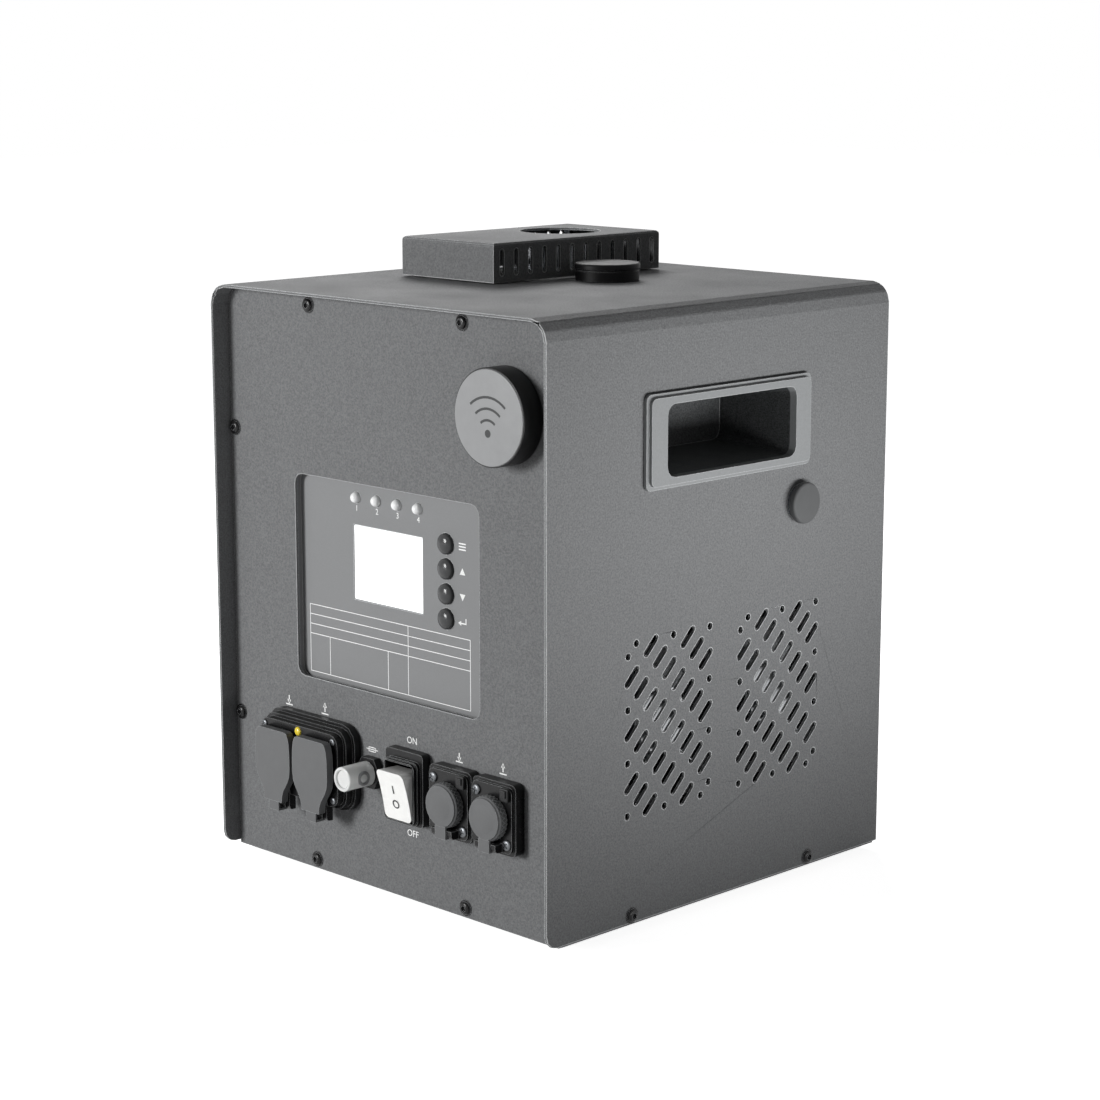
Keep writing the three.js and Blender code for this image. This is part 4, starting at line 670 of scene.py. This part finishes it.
def draw_out_arcs(piece, centres, radius, axis, cuts):
    """Draws the flats of round holes and slot ends out to true arcs.
    Centres are points of the case. The holes run along the axis, 0 for X to 2 for Z."""
    across = [i for i in range(3) if i != axis]
    tree = KDTree(len(centres))
    for i, centre in enumerate(centres):
        point = place(*centre)
        point[axis] = 0
        tree.insert(point, i)
    tree.balance()

    def offset(co):
        flat = co.copy()
        flat[axis] = 0
        centre = tree.find(flat)[0]
        return centre, (flat - centre).length / MM

    def is_flat(edge):
        first, second = (v.co for v in edge.verts)
        along = first - second
        if abs(along[axis]) > FLAT_RUN * MM or along.length < FLAT_RUN * MM:
            return False
        centre, middle = offset((first + second) / 2)
        on_ring = all(abs(offset(co)[1] - radius) < RING_SLACK and offset(co)[0] == centre
                      for co in (first, second))
        return on_ring and middle < radius - FLAT_HOLLOW

    with editing(piece):
        select_edges(piece, is_flat)
        bpy.ops.mesh.subdivide(number_cuts=cuts)
        work = bmesh.from_edit_mesh(piece.data)
        for vertex in work.verts:
            centre, distance = offset(vertex.co)
            if vertex.select and radius * INNERMOST_SHARE < distance < radius + RING_SLACK:
                for i in across:
                    vertex.co[i] = centre[i] + (vertex.co[i] - centre[i]) * radius / distance
        bmesh.update_edit_mesh(piece.data)


# Case

def vent_place(row, step, side=0):
    """Where a slot or a dot lies from the middle of its vent field, across and up."""
    off = side * VENT_DOT_SHARE * VENT_PITCH
    return (VENT_ROW_STEPS * row + step) * VENT_PITCH + off, -step * VENT_PITCH + off


def vent_slot_ends():
    """The middles of the round ends of all slots in the side walls."""
    reach = VENT_REACH / math.sqrt(2)
    ends = []
    for y, z in VENT_FIELDS:
        for row, first, last in VENT_ROWS:
            for step in range(first, last + 1):
                across, up = vent_place(row, step)
                ends += [(0, y + across + side * reach, z + up + side * reach)
                         for side in (-1, 1)]
    return ends


def vent_dots():
    """The middles of all dots in the side walls. Half of them are turned from the other half."""
    dots = []
    for y, z in VENT_FIELDS:
        for row, step in VENT_DOTS:
            for sign, side in ((1, -1), (-1, 1)):
                across, up = vent_place(sign * row, sign * step, side)
                dots.append((0, y + across, z + up))
    return dots


def round_folds(shell):
    """Turns the flats of the two long folds into a true round."""
    shortest, least, most = 200 * MM, math.radians(8), math.radians(50)

    def is_fold(edge):
        run = edge.verts[1].co - edge.verts[0].co
        return (edge.is_manifold and abs(run.y) > shortest and abs(run.y) > 0.999 * run.length
                and least < edge.calc_face_angle() < most)

    bevel_where(shell, is_fold, width=1.25, segments=3)
    smooth(shell, SHEET_CORNER)


def make_shell():
    """The folded cover, with true round folds and true round ends to its vent slots."""
    shell = fine_copy("shell_cover", whole_faces=False)
    draw_out_arcs(shell, vent_slot_ends(), VENT_RADIUS, axis=0, cuts=2)
    draw_out_arcs(shell, vent_dots(), VENT_RADIUS, axis=0, cuts=1)
    soften_long_edges(shell, 0.35)
    round_folds(shell)
    stand_in(shell, "shell_cover", "powder_coat")


def make_rocker():
    """The rocker, with the corners of its face well rounded."""
    across, shortest, sharp = 0.1 * MM, 4 * MM, math.radians(60)

    def is_corner(edge):
        run = edge.verts[1].co - edge.verts[0].co
        return (abs(run.x) < across and abs(run.y) > abs(run.z) and run.length > shortest
                and edge.is_manifold and edge.calc_face_angle() > sharp)

    rocker = fine_copy("rocker")
    bevel_where(rocker, is_corner, width=2.6, segments=6)
    soften(rocker, 0.5, 3)
    stand_in(rocker, "rocker", "white_plastic")


def make_outlet_cover():
    """The slotted cover, with round slot ends and a true round opening."""
    cover = fine_copy("outlet_cover", whole_faces=False)
    rows = [COVER_DEPTH_MIDDLE + (i - (COVER_SLOTS - 1) / 2) * COVER_SLOT_PITCH
            for i in range(COVER_SLOTS)]
    ends = [(0, y, COVER_SLOT_HEIGHT + side * COVER_SLOT_REACH) for y in rows for side in (-1, 1)]
    draw_out_arcs(cover, ends, COVER_SLOT_RADIUS, axis=0, cuts=2)
    draw_out_arcs(cover, [(*OUTLET, 0)], COVER_HOLE_RADIUS, axis=2, cuts=3)
    soften_long_edges(cover, 0.3)
    stand_in(cover, "outlet_cover", "powder_coat")


make_shell()
for node in ("front_panel", "rear_panel"):
    dress(node, "powder_coat", 0.3)
for node in ("handle_right", "handle_left"):
    dress(node, "black_plastic", 0.45, 3, 25, finish="handle_moulding")
dress("control_plate", "printed_plate", 0.2)
dress("display", "lit_screen", 0.15)
dress("mains_housing", "black_plastic", 0.5, 3, finish="socket_gloss")
for node in ("mains_flap_in", "mains_flap_out"):
    dress(node, "grey_plastic", 0.4, 3)
dress("fuse_holder", "black_plastic", 0.3, finish="socket_gloss")
dress("switch_frame", "black_plastic", 0.4, 3, finish="socket_gloss")
for node in ("signal_socket_1", "signal_socket_2"):
    dress(node, "black_plastic", 0.3, finish="socket_gloss")
for node in ("signal_cap_1", "signal_cap_2"):
    dress(node, "grey_rubber", 0.25)
make_rocker()
make_outlet_cover()


# Turned pieces

outlet_tube = turn_on_lathe(
    [(15, 205.3), (17, 205.3), (17, 289.3), (24, 289.3), (24, 291.3), (17, 291.3), (17, 304.9),
     (16.7, 305.2), (15.3, 305.2), (15, 304.9), (15, 205.3)], (*OUTLET, 0), "up", 96)
stand_in(outlet_tube, "outlet_tube", "steel")

filler_cap = turn_on_lathe(
    [(13.8, 289.3), (15.6, 289.3), (15.8, 289.5), (15.8, 294.0), (15.5, 294.3), (14.9, 294.3),
     (14.9, 295.1), (16.0, 295.1), (16.3, 295.4), (16.3, 297.1), (16.1, 297.5), (15.6, 297.85),
     (14.6, 297.9), (0, 297.9), (0, 295.9), (13.8, 295.9), (13.8, 289.3)], (*FILLER, 0), "up", 96)
stand_in(filler_cap, "filler_cap", "black_plastic", "cap_gloss")

drain_plug = turn_on_lathe(
    [(0, -14), (5.3, -14), (6.5, -12.8), (6.5, 2), (9.7, 2), (10, 2.3), (10, 4.1)]
    + quarter_round(10, 4.1, 1.2, 5, 8.8) + [(0, 5.3)], (CASE_HALF_WIDTH, *PLUG), "right", 72)
stand_in(drain_plug, "drain_plug", "black_plastic", "plug_face")

reader_middle = (READER[0], ON_PANEL, READER[1])
reader_body = turn_on_lathe(
    [(0, -2.1), (4, -2.1), (4, 0), (22, 0), (22.3, 0.3), (22.3, 11.2)]
    + quarter_round(22.3, 11.2, 0.4, 4, 21.9) + [(21.7, 11.6), (21.7, 11.1), (0, 11.1)],
    reader_middle, "front", 96)
hand_over(reader_body, "reader_body", "case", "grey_plastic", "reader_disc",
          finish="black_plastic")
reader_cap = turn_on_lathe(
    [(0, 11.2), (21.6, 11.2), (21.6, 11.7)] + quarter_round(21.6, 11.7, 0.3, 4, 21.3)
    + [(0, 12)], reader_middle, "front", 96)
hand_over(reader_cap, "reader_cap", "case", "grey_plastic", "reader_disc", finish="reader_face")

for i, height in enumerate(BUTTON_HEIGHTS, 1):
    button = turn_on_lathe(
        [(0, -7.2), (2, -7.2), (2, -2.6), (5.7, -2.6), (5.7, -1.8), (4.9, -1.8), (4.9, 0.9)]
        + quarter_round(4.9, 0.9, 2.2, 9), (BUTTON_X, PLATE_FACE, height), "front", 48)
    stand_in(button, f"button_{i}", "black_plastic", "button_gloss")

for i, across in enumerate(LAMP_PLACES, 1):
    lamp = turn_on_lathe([(0, -8.2), (2.6, -8.2), (2.6, 0.7)] + quarter_round(2.6, 0.7, 2.6, 8),
                         (across, PLATE_FACE, LAMP_HEIGHT), "front", 40)
    stand_in(lamp, f"lamp_{i}", "clear_plastic", "lamp_lens")

pilot = turn_on_lathe([(0, -4.7), (2.2, -4.7), (2.2, 0)] + quarter_round(2.2, 0, 1.2, 6),
                      (PILOT[0], MAINS_FRONT, PILOT[1]), "front", 40)
stand_in(pilot, "mains_pilot_lamp", "yellow_lens")

fuse_cap = turn_on_lathe(
    [(2.9, -4), (4.7, -4), (4.7, 4.3), (5.8, 4.3), (6, 4.5), (6, 19.6)]
    + quarter_round(6, 19.6, 0.7, 4, 5.3)
    + [(4.7, 20.3), (4.3, 19.9), (4.2, 19.3), (0, 19.3), (0, 4), (2.9, 4), (2.9, -4)],
    (FUSE[0], ON_PANEL, FUSE[1]), "front", 56)
stand_in(fuse_cap, "fuse_cap", "clear_plastic")


# Screws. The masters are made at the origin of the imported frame.

def combine(piece, tool, operation):
    """Cuts a tool out of a piece or adds it to the piece, and takes the tool away."""
    take_up(piece)
    change = piece.modifiers.new("tool", "BOOLEAN")
    change.object = tool
    change.operation = operation
    change.solver = "EXACT"
    bpy.ops.object.modifier_apply(modifier=change.name)
    bpy.data.objects.remove(tool)


def make_button_screw():
    """A button head on its washer, facing up, and the hexagon that cuts its socket."""
    radius, rise, rim = 3.1, 1.9, 0.8
    head = turn_on_lathe(
        [(0, 0), (radius * 1.28, 0), (radius * 1.3, 0.2), (radius * 1.26, 0.45), (radius, 0.5),
         (radius, rim)] + quarter_round(radius, rim, rise - rim, 5, radius * 0.55) + [(0, rise)],
        (0, 0, 0), "up", 36)
    return head, add_shape(
        bpy.ops.mesh.primitive_cylinder_add, vertices=6, radius=radius * 0.5 * MM,
        depth=2.2 * MM, location=(0, 0, (rise + 0.2) * MM))


def make_cross_screw():
    """A small pan head, facing up, and the cross that cuts its recess."""
    radius, rise = 2.2, 1.1
    head = turn_on_lathe([(0, 0), (radius, 0), (radius, rise * 0.35)]
                         + quarter_round(radius, rise * 0.35, rise * 0.65, 5, radius * 0.3)
                         + [(0, rise)], (0, 0, 0), "up", 32)
    blade = add_shape(bpy.ops.mesh.primitive_cube_add, size=1, location=(0, 0, rise * MM),
                      scale=(1.25 * radius * MM, 0.28 * radius * MM, 1.1 * MM))
    bpy.ops.object.duplicate()
    other = bpy.context.object
    other.rotation_euler = (0, 0, QUARTER)
    bpy.context.view_layer.update()
    combine(blade, other, "UNION")
    return head, blade


def sink(head, tool):
    """Brings a new head back from the middle of the case to the origin, and cuts its recess."""
    set_down(head, -place(0, 0, 0))
    combine(head, tool, "DIFFERENCE")
    bpy.ops.object.shade_smooth_by_angle(angle=math.radians(SCREW_CORNER))
    return head


def drive(kind, name, at, facing, scale=1.0, roll=0.0):
    """Puts a copy of a kind of screw in its place on the case."""
    master, slot, finish = kind
    screw = copy_of(master, name)
    screw.scale = (scale, scale, scale)
    set_down(screw, turn=(0, 0, roll))
    set_down(screw, place(*at), FACING[facing])
    hand_over(screw, name, "case", slot, finish=finish)


button_head = (sink(*make_button_screw()), "black_plastic", "screw_black")
cross_head = (sink(*make_cross_screw()), "steel", "dark_steel")

for i, (x, z) in enumerate(PANEL_SCREWS):
    drive(button_head, f"panel_screw_{i + 1}", (x, PANEL_FACE, z), "front", roll=0.4 * i)
    drive(button_head, f"rear_screw_{i + 1}", (x, REAR_FACE - REAR_SCREW_SUNK, z), "back",
          scale=0.55, roll=0.3 * i)
for i, (y, z) in enumerate(SIDE_SCREWS):
    for side, x, roll in (("right", CASE_HALF_WIDTH, 0.7), ("left", -CASE_HALF_WIDTH, 0.5)):
        drive(button_head, f"{side}_screw_{i + 1}", (x, y, z), side, roll=roll * i)
for i, (x, z) in enumerate(MAINS_SCREWS):
    drive(cross_head, f"mains_screw_{i + 1}", (x, MAINS_FRONT, z), "front", scale=0.8,
          roll=0.5 + 0.6 * i)
for i, x in enumerate(SIGNALS):
    for j, side in enumerate((-1, 1)):
        at = (x + side * SIGNAL_SCREW[0], SIGNAL_FRONT, SIGNAL_HEIGHT - side * SIGNAL_SCREW[1])
        drive(cross_head, f"signal_screw_{2 * i + j + 1}", at, "front", scale=1.15,
              roll=0.4 + i + j)

for kind in (button_head, cross_head):
    bpy.data.objects.remove(kind[0])


# Rubber caps: a crowned face over each dressed cap, knurled round its skirt, and a latch beside

def join_pieces(pieces):
    """Makes one piece of several."""
    take_up(pieces[0])
    for piece in pieces[1:]:
        piece.select_set(True)
    bpy.ops.object.join()
    return pieces[0]


def make_bar(length, width, thickness, rounding=0.0):
    """A flat bar along X, lying on the ground."""
    bar = add_shape(bpy.ops.mesh.primitive_plane_add, size=1)
    bar.scale = (length * MM, width * MM, 1)
    bpy.ops.object.transform_apply(location=False, rotation=False, scale=True)
    with editing(bar):
        draw_up(thickness)
        if rounding:
            bpy.ops.mesh.bevel(offset=rounding * MM, segments=2, affect="EDGES")
    return bar


def stand_up(piece, x, z, face, turn=0.0):
    """Turns a lying piece about its own middle and puts it on an upright face."""
    set_down(piece, turn=(0, 0, turn))
    set_down(piece, place(x, face, z), FACING["front"])
    return piece


def make_knurl(x, radius, low, high, count):
    """Crossing ridges round the skirt of a cap, as one piece. They are sunk into the skirt, and
    longer than the band is high, because they lean."""
    lean, thick, sunk, longer = 0.6, 0.35, 0.2, 1.2
    master = make_bar(high - low + longer, thick, thick)
    ridges = []
    for i in range(count):
        for side in (-1, 1):
            ridge = copy_of(master, "ridge")
            set_down(ridge, turn=(0, 0, side * lean))
            set_down(ridge, turn=(0, QUARTER, 0))
            set_down(ridge, ((radius - sunk) * MM, 0, (low + high) / 2 * MM))
            set_down(ridge, turn=(0, 0, 2 * math.pi * i / count))
            ridges.append(ridge)
    bpy.data.objects.remove(master)
    return stand_up(join_pieces(ridges), x, SIGNAL_HEIGHT, SIGNAL_FRONT)


for i, x in enumerate(SIGNALS, 1):
    crown = turn_on_lathe(
        [(8.9, 3.4), (10.3, 3.4), (10.5, 3.6), (10.5, 3.9)] + quarter_round(10.5, 3.9, 2.2, 10)
        + [(0, 5.0), (8.9, 3.6), (8.9, 3.4)], (x, SIGNAL_FRONT, SIGNAL_HEIGHT), "front", 72)
    hand_over(crown, f"signal_crown_{i}", f"signal_cover_{i}", "grey_rubber")
    knurl = make_knurl(x, radius=10.45, low=0.7, high=3.3, count=30)
    hand_over(knurl, f"signal_knurl_{i}", f"signal_cover_{i}", "grey_rubber")
    latch = make_bar(5.2, 6.2, LATCH_DEPTH, 0.5)
    stand_up(latch, x + LATCH_ACROSS, SIGNAL_HEIGHT + LATCH_RISE, SIGNAL_FRONT)
    hand_over(latch, f"signal_latch_{i}", "case", "black_plastic")
    thumb = make_bar(3.2, 3.4, 0.7, 0.25)
    stand_up(thumb, x + LATCH_ACROSS, SIGNAL_HEIGHT + THUMB_RISE, SIGNAL_FRONT - LATCH_DEPTH)
    hand_over(thumb, f"signal_thumb_{i}", "case", "black_plastic")

# The window in the side of the fuse cap, with its thick rim
fuse_window = turn_on_lathe(
    [(2.0, 5.2), (3.6, 5.2), (3.6, 6.0)] + quarter_round(3.6, 6.0, 0.5, 4, 3.1)
    + [(2.5, 6.5), (2.0, 6.1), (2.0, 5.2)], (FUSE[0], ON_PANEL - FUSE_WINDOW_OUT, FUSE[1]),
    "right", 48)
hand_over(fuse_window, "fuse_window", "fuse_knob", "clear_plastic", finish="reader_face")


# Printed marks

def print_bar(x, z, length, width, face, turn=0.0):
    """A painted stroke."""
    return stand_up(make_bar(length, width, PRINT_DEPTH), x, z, face, turn)


def print_arc(x, z, radius, width, face, start, end):
    """A painted arc, from start to end in degrees, counted from the right."""
    step, fewest = 8, 8
    arc = start_point()
    bpy.ops.transform.translate(value=((radius - width / 2) * MM, 0, 0))
    bpy.ops.mesh.extrude_region_move(TRANSFORM_OT_translate={"value": (width * MM, 0, 0)})
    spin_round(max(fewest, round((end - start) / step)), math.radians(end - start))
    weld(ARC_WELD)
    draw_up(PRINT_DEPTH)
    bpy.ops.object.mode_set(mode="OBJECT")
    return stand_up(arc, x, z, face, math.radians(end))


def print_triangle(x, z, radius, face, turn=0.0):
    """A painted triangle that points up, or is turned from there."""
    sign = add_shape(bpy.ops.mesh.primitive_circle_add, vertices=3, radius=radius * MM,
                     fill_type="NGON")
    with editing(sign):
        draw_up(PRINT_DEPTH)
    return stand_up(sign, x, z, face, turn)


def print_words(text, x, z, size, face):
    """Painted letters or figures, centred on their place."""
    letters = add_shape(bpy.ops.object.text_add)
    letters.data.body = text
    letters.data.size = size * MM
    letters.data.align_x = "CENTER"
    letters.data.align_y = "CENTER"
    letters.data.extrude = PRINT_DEPTH / 2 * MM
    bpy.ops.object.convert(target="MESH")
    letters = bpy.context.object
    with editing(letters):
        weld(LETTER_WELD)
    return stand_up(letters, x, z, face - PRINT_DEPTH / 2)


def hand_print(pieces, name, slot, finish="white_print", body="case"):
    """Joins painted pieces and hands them over."""
    hand_over(join_pieces(pieces), name, body, slot, finish=finish)


def arrow(x, z, face, height, up):
    """A painted arrow that leaves a line, or comes down to it."""
    way = 1 if up else -1
    return [print_bar(x, z, height * 0.8, 0.7, face, QUARTER),
            print_triangle(x, z + way * height * 0.26, height * 0.36, face,
                           0.0 if up else math.pi),
            print_bar(x, z - height * 0.62, height * 1.1, 0.6, face)]


def print_marks():
    """ON and OFF at the switch, figures under the lamps, and the signs of keys and sockets."""
    words = [print_words(word, SWITCH_X, z, 4.6, PANEL_FACE)
             for word, z in (("ON", 81.6), ("OFF", 36.0))]
    hand_print(words, "switch_marks", "powder_coat")

    figures = [print_words(str(i), x, 187.0, 3.9, PLATE_FACE)
               for i, x in enumerate(LAMP_PLACES, 1)]
    hand_print(figures, "lamp_figures", "printed_plate")

    column, line, plate = 47.6, 0.6, PLATE_FACE
    menu, higher, lower, enter = BUTTON_HEIGHTS
    keys = [print_bar(column, menu + rise, 4.6, line, plate) for rise in (-1.4, 0, 1.4)]
    keys += [print_triangle(column, higher - 0.3, 2.1, plate),
             print_triangle(column, lower + 0.3, 2.1, plate, math.pi),
             print_bar(column + 0.4, enter - 0.6, 3.6, line, plate),
             print_bar(column + 2.2, enter + 0.5, 2.8, line, plate, QUARTER),
             print_triangle(column - 1.7, enter - 0.6, 1.3, plate, QUARTER)]
    hand_print(keys, "key_signs", "printed_plate")

    signs = []
    for x, z, height, up in ((-73.1, 86.0, 4.6, False), (-46.0, 86.0, 4.6, True),
                             (SIGNALS[0], 80.4, 4.2, False), (SIGNALS[1], 80.4, 4.2, True)):
        signs += arrow(x, z, PANEL_FACE, height, up)
    fuse_x, fuse_z, thin = -11.5, 71.9, 0.45
    signs += [print_bar(fuse_x, fuse_z + side * 1.0, 5.2, thin, PANEL_FACE) for side in (-1, 1)]
    signs += [print_bar(fuse_x + side * 2.4, fuse_z, 2.4, thin, PANEL_FACE, QUARTER)
              for side in (-1, 1)]
    signs += [print_bar(fuse_x, fuse_z, 8.2, 0.4, PANEL_FACE)]
    hand_print(signs, "socket_signs", "powder_coat")


def print_table():
    """The ruled table under the display, with nothing written in it: three short rows, and a
    tall one with two rules of its own."""
    left, right, low, high = -61.1, 52.6, 101.8, 135.3
    middle, width, line = (left + right) / 2, right - left, 0.34
    row = 0.145 * (high - low)
    rules = [print_bar(middle, z, width, line, PLATE_FACE)
             for z in (low, high, high - row, high - 2 * row, high - 3 * row)]
    full = [(x, high) for x in (left, right, left + 0.625 * width)]
    short = [(left + share * width, high - 3 * row) for share in (0.128, 0.5)]
    rules += [print_bar(x, (low + top) / 2, top - low, line, PLATE_FACE, QUARTER)
              for x, top in full + short]
    hand_print(rules, "ruled_table", "printed_plate")


def print_reader_sign():
    """A dot and three waves on the reader's face."""
    x, z, face = READER[0] - 0.3, READER[1] - 8.0, ON_PANEL - 12
    waves = [print_arc(x, z, radius, 1.15, face, 50, 130) for radius in (7.0, 12.1, 17.2)]
    waves.append(print_arc(x, z + 1.0, 0.9, 1.8, face, 0, 360))
    hand_print(waves, "reader_sign", "grey_plastic", "dark_print")


def print_rocker_marks():
    """A stroke for on and a ring for off, on the dished face of the rocker."""
    def on_face(piece, height):
        share = 0.5 - height / ROCKER_LENGTH
        depth = ROCKER_RIM + ROCKER_HOLLOW * share * (1 - share)
        x, y, z = ROCKER_PIVOT
        out = y + depth * math.cos(ROCKER_THROW) - height * math.sin(ROCKER_THROW)
        up = z + depth * math.sin(ROCKER_THROW) + height * math.cos(ROCKER_THROW)
        set_down(piece, -place(0, 0, 0))
        set_down(piece, turn=(ROCKER_THROW, 0, 0))
        set_down(piece, place(x, out, up))
        return piece

    stroke = on_face(print_bar(0, 0, 4.2, 0.75, 0, QUARTER), 3.2)
    ring = on_face(print_arc(0, 0, 1.9, 0.7, 0, 0, 360), -4.4)
    hand_print([stroke, ring], "rocker_marks", "white_plastic", "dark_print", "switch_rocker")


print_marks()
print_table()
print_reader_sign()
print_rocker_marks()


# Photograph: camera, floor and light

def look_along(direction):
    """The turn of a camera or a lamp that looks along a direction."""
    return direction.to_track_quat("-Z", "Y").to_euler()


def add_camera():
    """The photograph's view: 44.9 degrees round to the right, 11.2 degrees down."""
    around, down = math.radians(44.918), math.radians(11.159)
    data = bpy.data.cameras.new("photo_camera")
    data.lens = 88.354
    data.sensor_width = 36
    data.clip_end = 100
    camera = add_object("photo_camera", data)
    camera.location = place(932.114, -935.21, 416.14)
    camera.rotation_euler = look_along(Vector((
        -math.sin(around) * math.cos(down), math.cos(around) * math.cos(down), -math.sin(down))))
    bpy.context.scene.camera = camera


def add_softbox(name, at, towards, size, power, spread=180):
    """A rectangular lamp that looks from one place towards another, in metres and watts."""
    data = bpy.data.lights.new(name, "AREA")
    data.shape = "RECTANGLE"
    data.size, data.size_y = size
    data.energy = power
    data.spread = math.radians(spread)
    light = add_object(name, data)
    light.location = at
    light.rotation_euler = look_along(Vector(towards) - Vector(at))
    light.visible_camera = False


def shown_as_is(tree):
    """Full for rays to the camera, in gloss and through glass, and nothing for all that light."""
    path = add_node(tree, "LightPath")
    seen = add_node(tree, "Math", operation="MAXIMUM")
    through = add_node(tree, "Math", operation="MAXIMUM")
    wire(tree, (path, "Is Camera Ray", seen, 0), (path, "Is Glossy Ray", seen, 1),
         (seen, "Value", through, 0), (path, "Is Transmission Ray", through, 1))
    return through


def add_floor():
    """A pale floor that shows white, and keeps the machine's soft shadow."""
    width, below = 12, 0.3
    floor = add_shape(bpy.ops.mesh.primitive_plane_add, size=width, location=(0, 0, -below * MM))
    floor.name = "studio_floor"
    material = bpy.data.materials.new("studio_floor")
    material.use_nodes = True
    tree = material.node_tree
    tree.nodes.clear()
    away = add_placed(tree, "VectorMath", operation="LENGTH")
    level = add_node(tree, "MapRange",
                     {"From Min": 0.2, "From Max": 0.5, "To Min": 0.86, "To Max": 1.0})
    matt = add_node(tree, "BsdfDiffuse", {"Color": (0.8, 0.8, 0.8, 1)})
    glow = add_node(tree, "Emission", {"Color": (1, 1, 1, 1)})
    lifted = add_node(tree, "AddShader")
    choice = add_node(tree, "MixShader")
    out = add_node(tree, "OutputMaterial")
    wire(tree, (away, "Value", level, "Value"),
         (level, "Result", glow, "Strength"), (matt, "BSDF", lifted, 0),
         (glow, "Emission", lifted, 1), (shown_as_is(tree), "Value", choice, "Fac"),
         (matt, "BSDF", choice, 1), (lifted, "Shader", choice, 2),
         (choice, "Shader", out, "Surface"))
    floor.data.materials.append(material)


def light_the_studio(level):
    """An even grey room for light, that shows white to the camera and in gloss and glass."""
    world = bpy.data.worlds.new("studio")
    world.use_nodes = True
    bpy.context.scene.world = world
    tree = world.node_tree
    tree.nodes.clear()
    room = add_node(tree, "Background", {"Color": (1, 1, 1, 1), "Strength": level})
    white = add_node(tree, "Background", {"Color": (1, 1, 1, 1), "Strength": 1.0})
    mixed = add_node(tree, "MixShader")
    out = add_node(tree, "OutputWorld")
    wire(tree, (shown_as_is(tree), "Value", mixed, "Fac"), (room, "Background", mixed, 1),
         (white, "Background", mixed, 2), (mixed, "Shader", out, "Surface"))


add_camera()
add_floor()
light_the_studio(0.08)
add_softbox("front_softbox", (-0.85, -2.2, 0.6), (0, 0, 0.15), (0.7, 0.7), 51)
add_softbox("right_softbox", (0.45, 0.03, 0.09), (0.115, 0.0, 0.29), (0.42, 0.08), 0.92,
            spread=112)
add_softbox("top_softbox", (-0.75, 0.55, 1.0), (0, 0, 0.28), (0.6, 0.6), 10.5)
bpy.context.scene.view_settings.view_transform = "Standard"
